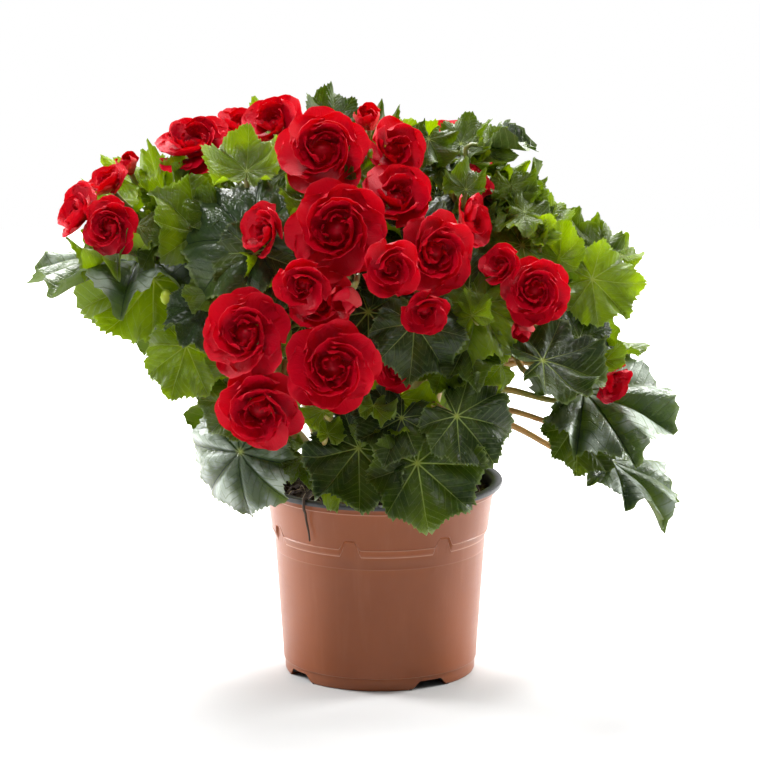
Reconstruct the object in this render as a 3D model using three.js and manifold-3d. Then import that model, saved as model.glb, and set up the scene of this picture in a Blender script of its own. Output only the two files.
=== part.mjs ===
// A potted tuberous begonia: a thin two-layer nursery pot, its plug of peat, the leafy stems that
// rise from it and the double blooms on their stalks.  Millimetres, +Z up.  The origin is the
// middle of the pot's flat underside; -Y is the plant's front and +X its right.
import * as THREE from 'three';
import { mergeVertices } from 'three/addons/utils/BufferGeometryUtils.js';
import Module from 'manifold-3d';

const wasm = await Module();
wasm.setup();
const rad = THREE.MathUtils.degToRad;

// ---------------------------------------------------------------------------------------------
// Driving dimensions
// ---------------------------------------------------------------------------------------------
const GAP = 0.32;                 // clear space kept between two pieces that meet
const SHORTEST_EDGE = 0.02;

const POT_HEIGHT = 103.5;
const POT_WALL = 1.2;
const POT_FLOOR = 1.8;
const POT_SIDES = 28;
const LIP_RADIUS = 65;
const LIP_THICKNESS = 3;
const LIP_INNER_RADIUS = 59.2;
const STRIP_RADIUS = 61.8;        // narrow strip under the lip
const STRIP_BOTTOM = 97.6;
const COLLAR_TOP_RADIUS = 60.3;
const COLLAR_FOOT_RADIUS = 57.4;
const STEP_TOP = 77.4;            // small chamfered step between the collar and the body
const STEP_BOTTOM = 73.9;
const BODY_TOP_RADIUS = 55.9;
const BODY_FOOT_RADIUS = 51.3;
const FOOT_LEDGE = 7;             // height of the tiny inward ledge above the ground
const FOOT_RADIUS = 50.4;
const CORNER = 1.2;

const ARCH_COUNT = 7;             // arch-shaped notches in the collar's step
const ARCH_FIRST = -16;           // degrees from the front, + to the right
const ARCH_TOP_WIDTH = 8.5;
const ARCH_FOOT_WIDTH = 12;
const ARCH_HEIGHT = 7;
const ARCH_CORNER = 1.6;
const BACKING_TOP = STEP_BOTTOM + ARCH_HEIGHT + 1;   // wall behind the arches is whole up to here

const DRAIN_COUNT = 4;            // drainage channels under the floor, open at the foot
const DRAIN_FIRST = 32;
const DRAIN_HEIGHT = 4.5;
const DRAIN_TOP_WIDTH = 13;
const DRAIN_FOOT_WIDTH = 22;
const DRAIN_START = 18;           // distance of a channel's inner end from the axis
const DRAIN_HOLE_RADIUS = 3.2;
const DRAIN_HOLE_REACH = 34;

const SOIL_TOP = 97.5;
const SOIL_CROWN = 4;             // how much higher the soil is in the middle
const SOIL_SIDES = 14;
const SOIL_RINGS = [0.45, 0.84];   // shares of the radius
const SOIL_ROUGHNESS = 1.3;

const STEM_FOOT_DEPTH = 34;
const STEM_FOOT_RADIUS = 4.4;
const STEM_TIP_RADIUS = 2.3;
const STALK_RADIUS = 1.5;
const STALK_TIP_RADIUS = 1.05;     // at a leaf
const STALK_BLOOM_END = 1.4;       // at a bloom
const BLADE_THICKNESS = 0.9;
const PETAL_THICKNESS = 1.0;

// Leafy stems: name, foot in the soil [x, y], tip [x, y, z].
const STEMS = [
  ['left', [-24, -4], [-80, -24, 232]],
  ['front', [-12, -16], [-46, -50, 232]],
  ['top', [-4, 6], [-12, -2, 258]],
  ['high', [11, -4], [42, -16, 246]],
  ['right', [26, -8], [86, -30, 200]],
  ['low', [8, -24], [22, -56, 178]],
  ['drop', [-14, -32], [-50, -60, 150]],
  ['back_left', [-20, 18], [-66, 46, 222]],
  ['back_middle', [-2, 26], [-14, 66, 230]],
  ['back_right', [20, 18], [56, 50, 222]],
];

// Front leaves: stem, navel [x, y, z], the way the face looks (azimuth from the front, + right,
// and elevation), turn of the tip from straight downhill (+ right), length, dish (+ cupped).
const FRONT_LEAVES = [
  ['left', [-119, -45, 223], -20, 38, -70, 44, -0.2],
  ['left', [-124, -20, 226], -90, 86, 0, 58, -0.1],
  ['left', [-133, -40, 232], -55, 62, 10, 28, 0.1],
  ['left', [-99, -72, 190], -15, 25, -10, 29, 0.1],
  ['left', [-90, -62, 202], 0, 45, -25, 26, -0.1],
  ['left', [-119, -15, 258], -60, 55, -20, 30, 0.35],
  ['left', [-116, -25, 259], -95, 50, 150, 27, 0.1],
  ['left', [-105, -35, 253], 0, 42, 170, 26, 0.45],
  ['left', [-108, -50, 245], -40, 62, -20, 21, -0.4],
  ['left', [-98, -50, 243], 35, 22, 175, 30, 0.1],
  ['front', [-63, -82, 247], -18, 28, -128, 42, -0.15],
  ['front', [-63, -86, 241], -6, 8, -8, 31, -0.25],
  ['front', [-68, -55, 272], 0, 52, 178, 24, 0.1],
  ['front', [-61, -50, 274], 5, 62, 150, 19, 0.1],
  ['front', [-33, -75, 263], 0, 48, 180, 24, 0],
  ['top', [-59, 20, 284], -30, 60, 168, 19, 0.3],
  ['top', [-24, 15, 293], 15, 52, 170, 18, 0.3],
  ['top', [17, -20, 276], 30, 32, 178, 24, 0.1],
  ['high', [42, -8, 284], -10, 50, 168, 18, 0.25],
  ['high', [45, -10, 276], 20, 42, 178, 22, 0.1],
  ['high', [46, -5, 275], 85, 112, 195, 35, -0.05],
  ['high', [62, -5, 251], 85, 120, 190, 30, 0],
  ['high', [68, -30, 247], 0, 52, -150, 24, 0.1],
  ['high', [85, -20, 245], 20, 55, 175, 17, 0.1],
  ['right', [101, -20, 236], 30, 45, 172, 18, 0.2],
  ['right', [73, -50, 236], 0, 40, -110, 24, 0.1],
  ['right', [92, -45, 228], 5, 40, 172, 18, 0.3],
  ['right', [114, -20, 228], 10, 50, -150, 21, 0.1],
  ['right', [108, -35, 215], 12, 28, 80, 27, 0.05],
  ['right', [83, -80, 184], 20, 58, 105, 34, 0],
  ['right', [103, -50, 189], 20, 40, 150, 24, 0.1],
  ['right', [100, -46, 141], 40, 36, 25, 30, -0.1],
  ['right', [106, -30, 157], 20, 70, 98, 51, -0.1],
  ['right', [123, -31, 123], 60, 62, 0, 42, -0.1],
  ['low', [39, -94, 158], 8, 28, 40, 30, -0.1],
  ['low', [19, -92, 133], 4, 20, 8, 36, -0.1],
  ['low', [-11, -80, 138], -8, 34, -35, 34, -0.1],
  ['low', [11, -78, 150], 0, 30, -20, 26, 0],
  ['low', [17, -88, 204], 5, 22, -5, 29, -0.2],
  ['low', [-6, -64, 206], 0, 18, 0, 33, -0.1],
  ['low', [52, -78, 216], 14, 42, 20, 32, -0.1],
  ['low', [45, -84, 198], 10, 35, 10, 24, -0.1],
  ['low', [66, -72, 188], 10, 22, 5, 26, -0.1],
  ['low', [35, -76, 188], 5, 30, -20, 24, 0],
  ['low', [45, -66, 218], -5, 15, 178, 26, 0.1],
  ['low', [9, -70, 162], -10, 40, -30, 26, 0],
  ['drop', [-72, -66, 133], -22, 4, -6, 38, -0.55],
  ['drop', [-69, -84, 163], -10, 18, -50, 24, -0.1],
];

// Front blooms: stem, middle [x, y, z], azimuth and elevation of the face, diameter, form.
const FRONT_BLOOMS = [
  ['left', [-152, -45, 254], -62, 22, 30, 'cup'],
  ['left', [-137, -62, 250], -25, 6, 27, 'rose'],
  ['left', [-139, -34, 266], -55, 55, 24, 'cup'],
  ['left', [-131, -5, 271], -30, 60, 14, 'bud'],
  ['left', [-96, -22, 284], -15, 58, 37, 'rose'],
  ['front', [-74, -4, 290], 0, 65, 27, 'cup'],
  ['front', [-54, -26, 296], -30, 45, 32, 'cup'],
  ['front', [-29, -72, 290], 0, 26, 41, 'rose'],
  ['top', [6, -56, 288], 25, 20, 32, 'cup'],
  ['top', [-6, -38, 300], -10, 55, 17, 'bud'],
  ['top', [8, -82, 267], 10, 42, 36, 'cup'],
  ['low', [26, -96, 243], 26, 6, 38, 'rose'],
  ['front', [-21, -100, 255], -5, 16, 46, 'rose'],
  ['front', [-56, -92, 253], -50, 16, 28, 'cup'],
  ['front', [-38, -122, 232], -10, -4, 28, 'cup'],
  ['top', [5, -120, 240], 12, 2, 30, 'cup'],
  ['low', [22, -112, 217], 10, -18, 25, 'cup'],
  ['front', [-16, -118, 225], -30, -30, 19, 'bud'],
  ['high', [44, -70, 254], 60, 12, 29, 'cup'],
  ['high', [47, -38, 268], 60, 48, 22, 'cup'],
  ['right', [62, -82, 233], -25, 30, 22, 'cup'],
  ['right', [78, -84, 221], 5, 10, 32, 'rose'],
  ['right', [72, -80, 202], 0, -45, 14, 'bud'],
  ['right', [119, -38, 165], 45, -22, 23, 'cup'],
  ['drop', [-66, -116, 205], -20, 16, 40, 'rose'],
  ['low', [-24, -126, 191], 5, 6, 42, 'rose'],
  ['drop', [-60, -116, 168], -10, -14, 40, 'rose'],
  ['drop', [-30, -92, 216], 0, 26, 34, 'cup'],
  ['low', [7, -84, 181], 20, 0, 24, 'cup'],
];

// The back of the plant is laid out by rule on the back half of an egg-shaped crown.
const CROWN_MIDDLE = [-8, 0, 192];
const CROWN_REACH = [116, 100, 92];
// Rings of back leaves and blooms: height angle, count, first and last azimuth.
const BACK_LEAF_RINGS = [
  [-34, 4, 150, 232],
  [-6, 6, 98, 234],
  [22, 5, 108, 250],
  [52, 3, 128, 246],
];
const BACK_BLOOM_RINGS = [
  [6, 3, 128, 238],
  [28, 3, 140, 240],
  [52, 2, 146, 212],
];
// Leaves inside the crown, under the outer ones, all the way round.
const INNER_SHARE = 0.6;
const INNER_LEAF_RINGS = [
  [6, 5, 60, 320],
  [50, 4, 20, 290],
];
const RING_SPREAD = 10;           // degrees
// The stem that bears what grows in each sector of the crown, by the sector's last azimuth.
const STEM_SECTORS = [
  [20, 'low'], [55, 'high'], [95, 'right'], [150, 'back_right'], [205, 'back_middle'],
  [262, 'back_left'], [310, 'left'], [340, 'drop'], [360, 'front'],
];
const BACK_LEAF_LENGTH = 38;
const BLOOM_SHARE = 1.08;         // blooms stand out past the leaves
const BACK_BLOOM_DIAMETER = 38;
const BACK_ROSE_FROM = 41;

// Leaf outline: radii from the navel at angles from the tip; veins run to the longer ones.
const LEAF_SHAPE = [[0, 1], [18, 0.77], [38, 0.87], [58, 0.69], [79, 0.77], [102, 0.6], [132, 0.6]];
const SMALL_LEAF_SHAPE = [[0, 1], [25, 0.75], [48, 0.84], [85, 0.68], [126, 0.62]];
const LEAF_SINUS = 0.11;
const SINUS_LEAST = 2.2;
const LEAF_SKEW = 0.13;           // one side of a begonia leaf is wider than the other
const LEAF_PUCKER = 0.05;         // blade stands higher between the veins
const LEAF_WAVE = 0.07;
const LEAF_VEINS = 9;
const SMALL_LEAF = 22;            // shorter leaves have fewer lobes
const NAVEL_RING = [rad(60), Math.PI, rad(300)];   // where a three-sided stalk joins its blade

// Petal layers of each form: count, length and width as shares of the diameter, lean out of the
// bloom's plane in degrees, cupping, and where the petals leave the core (share of its height).
const PETAL_LAYERS = {
  rose: [[5, 0.46, 0.54, 12, 0.3, -0.45], [5, 0.34, 0.4, 48, 0.26, 0.15]],
  cup: [[4, 0.48, 0.6, 30, 0.34, -0.4]],
  bud: [[3, 0.6, 0.6, 62, 0.4, -0.4]],
};
const CORE_SHARE = { rose: 0.17, cup: 0.14, bud: 0.26 };
const CORE_WAIST = 0.92;          // the core's radius as a share of its half-height
const CORE_CROWN = 0.9;
const BACK_RADIUS = 2.1;          // small flat back of a bloom, where its stalk meets it
const ROOT_SPREAD = 0.36;         // share of the core's circumference that petal roots take
const BROAD_PETAL = [[0, -0.14], [0.5, -0.5], [0.94, -0.26], [0.97, 0.22], [0.52, 0.5], [0, 0.14]];
const POINTED_PETAL = [[0, -0.14], [0.55, -0.5], [1, 0], [0.58, 0.5], [0, 0.14]];
const PETAL_ROLL = 13;            // each petal lies with one edge over its neighbour
const PETAL_SIDE_RISE = 1.6;      // of a cupped petal, in shares of its cupping
const PETAL_TIP_RISE = 0.7;
const PETAL_RUFFLE = 0.14;
const LEAN_SPREAD = 8;
const BLOOM_TURN = 47;            // each bloom is turned on its stalk by this much more

// Stems and stalks: sides and steps of their tubes, and the ways a stalk bends to keep clear.
const STEM_SIDES = 5;
const STEM_STEPS = 4;
const STALK_SIDES = 3;
const STALK_STEPS = 3;
const BENDS = [0, 4, 8, 12, 17];
const BEND_TURNS = [0, 90, 180, 270, 45, 135, 225, 315];
const SLIPS = [0, -0.08, 0.05, -0.16];
const STALK_WAYS = BENDS.flatMap((bend) => (bend === 0 ? [0] : BEND_TURNS)
  .flatMap((turn) => SLIPS.map((slip) => [bend, turn, slip])));
// The ways a leaf keeps clear: share of its length, nod in degrees, push along its normal.
const LEAF_WAYS = [1, 0.9, 0.8, 0.7].flatMap((shrink) => [0, 8, -8, 16, -16]
  .flatMap((nod) => [0, 4, -4, 8, -8].map((push) => [shrink, nod, push])));
// The ways a petal keeps clear: share of its size and extra lean in degrees.
const PETAL_WAYS = [
  [1, 0], [1, 10], [0.9, 0], [1, -10], [0.9, 14], [0.8, 0], [0.8, 16], [0.9, 26], [0.8, -12],
  [0.7, 0], [0.7, 20], [0.7, 36], [0.6, 0], [0.6, 30],
];
// Where a stalk leaves its stem: a share of the stem that rises with the height of its end.
const ROOTS_FROM = 130;
const ROOTS_OVER = 20;
const ROOT_SHARE = 0.42;
const ROOT_RISE = 0.5;
const ROOT_RANGE = [0.45, 0.96];
const STALK_REACH = 0.36;         // length of a stalk's end tangents as a share of its span
const STEM_CLEARANCE = 7;         // a stalk's first stretch lies in its stem,
const END_CLEARANCE = 3;          // its last in what it bears
const FOREIGN_COST = 1000;        // of crossing a piece of another node
const OWN_COST = 12;              // of crossing a leaf or stalk of the same stem
const PETAL_COST = 500;           // of crossing a petal of the same bloom

const COLOURS = {
  pot: 0x9c5f47,
  soil: 0x2a1d14,
  leaf: 0x4b6a1c,
  bloom: 0xc0102a,
  bud: 0xcf4a5c,
};

// ---------------------------------------------------------------------------------------------
// Small helpers
// ---------------------------------------------------------------------------------------------
const vec = (list) => new THREE.Vector3(...list);

// A seeded stream of numbers in 0..1 (mulberry32).
function randomStream(seed) {
  let state = seed >>> 0;
  return () => {
    state = (state + 0x6d2b79f5) >>> 0;
    let t = state;
    t = Math.imul(t ^ (t >>> 15), t | 1);
    t ^= t + Math.imul(t ^ (t >>> 7), t | 61);
    return ((t ^ (t >>> 14)) >>> 0) / 4294967296;
  };
}

// Direction that a face looks: azimuth from the front, + to the right, and elevation.
function faceDirection(azimuth, elevation) {
  const a = rad(azimuth);
  const e = rad(elevation);
  return new THREE.Vector3(Math.sin(a) * Math.cos(e), -Math.cos(a) * Math.cos(e), Math.sin(e));
}

// Axes of a blade: normal, tip direction (downhill, turned about the normal) and side.
function bladeFrame(azimuth, elevation, turn) {
  const normal = faceDirection(azimuth, elevation);
  const down = new THREE.Vector3(0, 0, -1).addScaledVector(normal, normal.z).normalize();
  const across = new THREE.Vector3().crossVectors(normal, down);
  const tip = down.multiplyScalar(Math.cos(rad(turn))).addScaledVector(across, Math.sin(rad(turn)));
  const side = new THREE.Vector3().crossVectors(normal, tip);
  return { normal, tip, side };
}

function geometryOf(points, triangles) {
  const geometry = new THREE.BufferGeometry();
  const flat = points.flatMap((p) => (Array.isArray(p) ? p : [p.x, p.y, p.z]));
  geometry.setAttribute('position', new THREE.Float32BufferAttribute(flat, 3));
  geometry.setIndex(triangles.flat());
  return geometry;
}

function solidOf(geometry) {
  const bare = geometry.clone();
  bare.deleteAttribute('normal');
  bare.deleteAttribute('uv');
  const merged = mergeVertices(bare, 1e-4);
  return new wasm.Manifold(new wasm.Mesh({
    numProp: 3,
    vertProperties: new Float32Array(merged.attributes.position.array),
    triVerts: new Uint32Array(merged.index.array),
  }));
}

// The largest piece of a solid: loose scraps are dropped and sealed hollows filled.
function mainPiece(solid) {
  return solid.decompose().reduce((best, piece) => (piece.volume() > best.volume() ? piece : best))
    .simplify(SHORTEST_EDGE);
}

function join(solids) {
  return solids.reduce((whole, solid) => whole.add(solid));
}

function boxesMeet(a, b) {
  const first = a.boundingBox();
  const second = b.boundingBox();
  return [0, 1, 2].every((i) => first.min[i] <= second.max[i] && second.min[i] <= first.max[i]);
}

function cutBy(solid, cutters) {
  return cutters.filter((c) => boxesMeet(solid, c)).reduce((rest, c) => rest.subtract(c), solid);
}

// ---------------------------------------------------------------------------------------------
// Thin sheets and tubes
// ---------------------------------------------------------------------------------------------
// A closed sheet over a net of points (u, w, height): both faces have the same triangles.
function sheet(net, frame, origin, over, under) {
  const place = ([u, w, h], lift) => vec(origin).addScaledVector(frame.tip, u)
    .addScaledVector(frame.side, w).addScaledVector(frame.normal, h + lift);
  const count = net.points.length;
  const points = [
    ...net.points.map((p) => place(p, over)),
    ...net.points.map((p) => place(p, -under)),
  ];
  const triangles = [];
  net.faces.forEach(([a, b, c]) => {
    triangles.push([a, b, c], [c + count, b + count, a + count]);
  });
  net.rim.forEach((a, i) => {
    const b = net.rim[(i + 1) % net.rim.length];
    triangles.push([a, a + count, b + count], [a, b + count, b]);
  });
  return solidOf(geometryOf(points, triangles));
}

// A closed tapering tube with flat ends along a list of points; its last end may face a given way.
function tube(points, radii, sides, endDirection) {
  const last = points.length - 1;
  const rings = [];
  let normal = null;
  points.forEach((point, i) => {
    const ahead = points[Math.min(i + 1, last)];
    const behind = points[Math.max(i - 1, 0)];
    const along = i === last && endDirection ? endDirection.clone()
      : new THREE.Vector3().subVectors(ahead, behind).normalize();
    if (!normal) {
      const helper = Math.abs(along.z) < 0.9 ? new THREE.Vector3(0, 0, 1) : new THREE.Vector3(1, 0, 0);
      normal = new THREE.Vector3().crossVectors(along, helper).normalize();
    }
    normal.addScaledVector(along, -normal.dot(along)).normalize();
    const other = new THREE.Vector3().crossVectors(along, normal);
    for (let s = 0; s < sides; s += 1) {
      const a = (2 * Math.PI * s) / sides;
      rings.push(point.clone().addScaledVector(normal, Math.cos(a) * radii[i])
        .addScaledVector(other, Math.sin(a) * radii[i]));
    }
  });
  const triangles = [];
  for (let i = 0; i < last; i += 1) {
    for (let s = 0; s < sides; s += 1) {
      const a = i * sides + s;
      const b = i * sides + ((s + 1) % sides);
      triangles.push([a, b, b + sides], [a, b + sides, a + sides]);
    }
  }
  for (let s = 1; s < sides - 1; s += 1) {
    triangles.push([0, s + 1, s], [last * sides, last * sides + s, last * sides + s + 1]);
  }
  return solidOf(geometryOf(rings, triangles));
}

function bezier(p0, p1, p2, p3, t) {
  const s = 1 - t;
  return p0.clone().multiplyScalar(s * s * s).addScaledVector(p1, 3 * s * s * t)
    .addScaledVector(p2, 3 * s * t * t).addScaledVector(p3, t * t * t);
}

// ---------------------------------------------------------------------------------------------
// Pot and soil
// ---------------------------------------------------------------------------------------------
const wallRadius = (z) => THREE.MathUtils.mapLinear(z, FOOT_LEDGE, STEP_BOTTOM,
  BODY_FOOT_RADIUS, BODY_TOP_RADIUS);

const toProfile = (pairs) => pairs.map(([r, z]) => new THREE.Vector2(r, z));

// The pot's outer outline from the ground to the lip.
function outerOutline() {
  const stripTop = POT_HEIGHT - LIP_THICKNESS;
  return [
    [0, 0], [FOOT_RADIUS - CORNER, 0], [FOOT_RADIUS, CORNER], [FOOT_RADIUS + 0.2, FOOT_LEDGE - 0.4],
    [BODY_FOOT_RADIUS, FOOT_LEDGE], [BODY_TOP_RADIUS, STEP_BOTTOM], [COLLAR_FOOT_RADIUS, STEP_TOP],
    [COLLAR_TOP_RADIUS, STRIP_BOTTOM], [STRIP_RADIUS, STRIP_BOTTOM + 0.4], [STRIP_RADIUS, stripTop],
    [LIP_RADIUS, stripTop + 0.3], [LIP_RADIUS, POT_HEIGHT],
  ];
}

// The pot's inner outline from the lip to the axis.
function innerOutline() {
  return [
    [LIP_INNER_RADIUS, POT_HEIGHT], [COLLAR_TOP_RADIUS - POT_WALL - 0.4, STRIP_BOTTOM],
    [COLLAR_FOOT_RADIUS - POT_WALL + 0.8, BACKING_TOP + 2], [BODY_TOP_RADIUS - POT_WALL, BACKING_TOP],
    [BODY_FOOT_RADIUS - POT_WALL, FOOT_LEDGE], [FOOT_RADIUS - POT_WALL, POT_FLOOR], [0, POT_FLOOR],
  ];
}

// LatheGeometry turns about Y; this stands its axis up along Z, facing outwards.
function lathe(profile, sides) {
  const geometry = new THREE.LatheGeometry(profile, sides);
  geometry.rotateX(Math.PI / 2);
  return geometry;
}

// A trapezium as wide as given at foot and top, extruded away from the axis.
function radialTrapezium(footWidth, topWidth, bottom, top, from, to, azimuth) {
  const shape = new THREE.Shape([
    new THREE.Vector2(-footWidth / 2, bottom), new THREE.Vector2(footWidth / 2, bottom),
    new THREE.Vector2(topWidth / 2, top), new THREE.Vector2(-topWidth / 2, top),
  ]);
  const geometry = new THREE.ExtrudeGeometry(shape, { depth: to - from, bevelEnabled: false });
  geometry.translate(0, 0, from);
  geometry.rotateX(Math.PI / 2);
  geometry.rotateZ(rad(azimuth));
  return solidOf(geometry);
}

// A channel under the floor: its cover stands inside the pot as far as the wall, the channel
// runs out through the foot, and a hole goes up through its roof.
function makeDrain(pot, filled, azimuth) {
  const roof = DRAIN_HEIGHT + POT_WALL;
  const grow = 2 * POT_WALL;
  const past = FOOT_RADIUS + 5;
  const cover = radialTrapezium(DRAIN_FOOT_WIDTH + grow, DRAIN_TOP_WIDTH + grow, 0.4, roof,
    DRAIN_START - POT_WALL, past, azimuth);
  const channel = radialTrapezium(DRAIN_FOOT_WIDTH, DRAIN_TOP_WIDTH, -1, DRAIN_HEIGHT,
    DRAIN_START, past, azimuth);
  const hole = new THREE.CylinderGeometry(DRAIN_HOLE_RADIUS, DRAIN_HOLE_RADIUS, 6, 6);
  hole.rotateX(Math.PI / 2);
  hole.translate(0, -DRAIN_HOLE_REACH, roof);
  hole.rotateZ(rad(azimuth));
  return pot.add(cover.intersect(filled)).subtract(channel).subtract(solidOf(hole));
}

function makePot() {
  const filled = solidOf(lathe(toProfile([...outerOutline(), [0, POT_HEIGHT]]), POT_SIDES));
  let pot = solidOf(lathe(toProfile([...outerOutline(), ...innerOutline()]), POT_SIDES));
  for (let k = 0; k < DRAIN_COUNT; k += 1) {
    pot = makeDrain(pot, filled, DRAIN_FIRST + (360 / DRAIN_COUNT) * k);
  }
  for (let k = 0; k < ARCH_COUNT; k += 1) {
    const azimuth = ARCH_FIRST + (360 / ARCH_COUNT) * k;
    pot = cutArch(pot, azimuth);
  }
  return mainPiece(pot);
}

// The body's surface rises into the collar under a small arch; the wall behind stays whole.
function cutArch(pot, azimuth) {
  const top = STEP_BOTTOM + ARCH_HEIGHT;
  const shape = new THREE.Shape();
  shape.moveTo(-ARCH_FOOT_WIDTH / 2, STEP_BOTTOM - 0.5);
  shape.lineTo(ARCH_FOOT_WIDTH / 2, STEP_BOTTOM - 0.5);
  shape.lineTo(ARCH_TOP_WIDTH / 2, top - ARCH_CORNER);
  shape.lineTo(ARCH_TOP_WIDTH / 2 - ARCH_CORNER, top);
  shape.lineTo(ARCH_CORNER - ARCH_TOP_WIDTH / 2, top);
  shape.lineTo(-ARCH_TOP_WIDTH / 2, top - ARCH_CORNER);
  const floor = wallRadius(STEP_TOP) + 0.05;
  const depth = COLLAR_TOP_RADIUS + 4 - floor;
  const geometry = new THREE.ExtrudeGeometry(shape, { depth, bevelEnabled: false });
  geometry.translate(0, 0, floor);
  geometry.rotateX(Math.PI / 2);
  geometry.rotateZ(rad(azimuth));
  return pot.subtract(solidOf(geometry));
}

function makeSoil(stemCutters) {
  const random = randomStream(7);
  const clear = POT_WALL + GAP + 0.4;
  const bottom = DRAIN_HEIGHT + POT_WALL + GAP + 0.3;
  const levels = [
    [BODY_FOOT_RADIUS - clear, bottom], [BODY_TOP_RADIUS - clear, BACKING_TOP],
    [COLLAR_TOP_RADIUS - clear - 0.6, SOIL_TOP - 1.5],
  ];
  const topRings = [...SOIL_RINGS].reverse().map((share) => [
    share * (COLLAR_TOP_RADIUS - clear), SOIL_TOP + SOIL_CROWN * (1 - share * share),
  ]);
  const rings = [...levels, ...topRings];
  const points = [[0, 0, bottom]];
  rings.forEach(([radius, z], i) => {
    const rough = i < levels.length ? 0 : SOIL_ROUGHNESS;
    for (let s = 0; s < SOIL_SIDES; s += 1) {
      const a = (2 * Math.PI * s) / SOIL_SIDES;
      const lift = rough * (random() - 0.5) * 2;
      points.push([radius * Math.sin(a), -radius * Math.cos(a), z + lift]);
    }
  });
  points.push([0, 0, SOIL_TOP + SOIL_CROWN]);
  const triangles = [];
  const last = points.length - 1;
  for (let s = 0; s < SOIL_SIDES; s += 1) {
    const t = (s + 1) % SOIL_SIDES;
    triangles.push([0, 1 + t, 1 + s]);
    for (let i = 0; i < rings.length - 1; i += 1) {
      const a = 1 + i * SOIL_SIDES;
      const b = a + SOIL_SIDES;
      triangles.push([a + s, a + t, b + t], [a + s, b + t, b + s]);
    }
    const top = 1 + (rings.length - 1) * SOIL_SIDES;
    triangles.push([top + s, top + t, last]);
  }
  return mainPiece(cutBy(solidOf(geometryOf(points, triangles)), stemCutters));
}

// ---------------------------------------------------------------------------------------------
// Leaves
// ---------------------------------------------------------------------------------------------
// The outline as [angle, radius] pairs, one side wider than the other.
function leafRim(leaf) {
  const shape = leaf.length < SMALL_LEAF ? SMALL_LEAF_SHAPE : LEAF_SHAPE;
  const mirrored = shape.slice(1).map(([angle, r]) => [-angle, r]).reverse();
  const skewed = ([angle, r]) => [rad(angle), r * (1 + leaf.skew * Math.sin(rad(angle)))];
  return [...mirrored.map(skewed), ...shape.map(skewed), [Math.PI, LEAF_SINUS]];
}

// Height of the blade over its plane, in leaf lengths: dished, waved, and puckered between veins.
function leafHeight(leaf, r, angle) {
  const wave = LEAF_WAVE * Math.sin(2 * angle + leaf.phase);
  return r * r * (leaf.dish + wave - LEAF_PUCKER * Math.cos(LEAF_VEINS * angle));
}

function leafNet(leaf, grow) {
  const rim = leafRim(leaf);
  const points = rim.map(([angle, r]) => {
    const out = Math.max(r * leaf.length, SINUS_LEAST) + grow;
    return [out * Math.cos(angle), out * Math.sin(angle), leafHeight(leaf, r, angle) * leaf.length];
  });
  points.push([0, 0, 0]);
  const faces = rim.map((p, i) => [i, (i + 1) % rim.length, rim.length]);
  return { points, faces, rim: rim.map((p, i) => i) };
}

function makeBlade(leaf, grow) {
  return sheet(leafNet(leaf, grow), leaf.frame, leaf.navel, grow, BLADE_THICKNESS + grow);
}

// Blade and stalk as one closed surface: the stalk opens out of the blade's underside.
function makeStalkedLeaf(leaf, stalk) {
  const { tip, side, normal } = leaf.frame;
  const net = leafNet(leaf, 0);
  const count = net.rim.length;
  const place = ([u, w, h], lift) => vec(leaf.navel).addScaledVector(tip, u)
    .addScaledVector(side, w).addScaledVector(normal, h + lift);
  const top = net.points.map((p) => place(p, 0));
  const under = net.points.slice(0, count).map((p) => place(p, -BLADE_THICKNESS));
  const rings = [];
  const path = [...stalk.points].reverse();
  const radii = [...stalk.radii].reverse();
  let first = tip;
  path.forEach((point, i) => {
    const ahead = path[Math.min(i + 1, path.length - 1)];
    const behind = path[Math.max(i - 1, 0)];
    const upward = i === 0 ? normal : behind.clone().sub(ahead).normalize();
    first = first.clone().addScaledVector(upward, -first.dot(upward)).normalize();
    const second = new THREE.Vector3().crossVectors(upward, first);
    const middle = i === 0 ? place([0, 0, 0], -BLADE_THICKNESS) : point;
    NAVEL_RING.forEach((angle) => {
      rings.push(middle.clone().addScaledVector(first, radii[i] * Math.cos(angle))
        .addScaledVector(second, radii[i] * Math.sin(angle)));
    });
  });
  const base = top.length;
  const ringStart = base + count;
  const triangles = net.faces.slice();
  const sector = (angle) => {
    const turned = (angle + 2 * Math.PI) % (2 * Math.PI);
    return Math.min(Math.floor(turned / (2 * Math.PI / STALK_SIDES)), STALK_SIDES - 1);
  };
  const rim = leafRim(leaf);
  rim.forEach(([angle], i) => {
    const j = (i + 1) % count;
    const here = ringStart + sector(angle);
    const next = ringStart + sector(rim[j][0]);
    triangles.push([i, base + i, base + j], [i, base + j, j], [base + j, base + i, here]);
    if (next !== here) {
      triangles.push([base + j, here, next]);
    }
  });
  for (let i = 0; i < path.length - 1; i += 1) {
    for (let s = 0; s < STALK_SIDES; s += 1) {
      const a = ringStart + i * STALK_SIDES + s;
      const b = ringStart + i * STALK_SIDES + ((s + 1) % STALK_SIDES);
      triangles.push([a, a + STALK_SIDES, b + STALK_SIDES], [a, b + STALK_SIDES, b]);
    }
  }
  const end = ringStart + (path.length - 1) * STALK_SIDES;
  triangles.push([end, end + 2, end + 1]);
  return solidOf(geometryOf([...top, ...under, ...rings], triangles));
}

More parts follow.
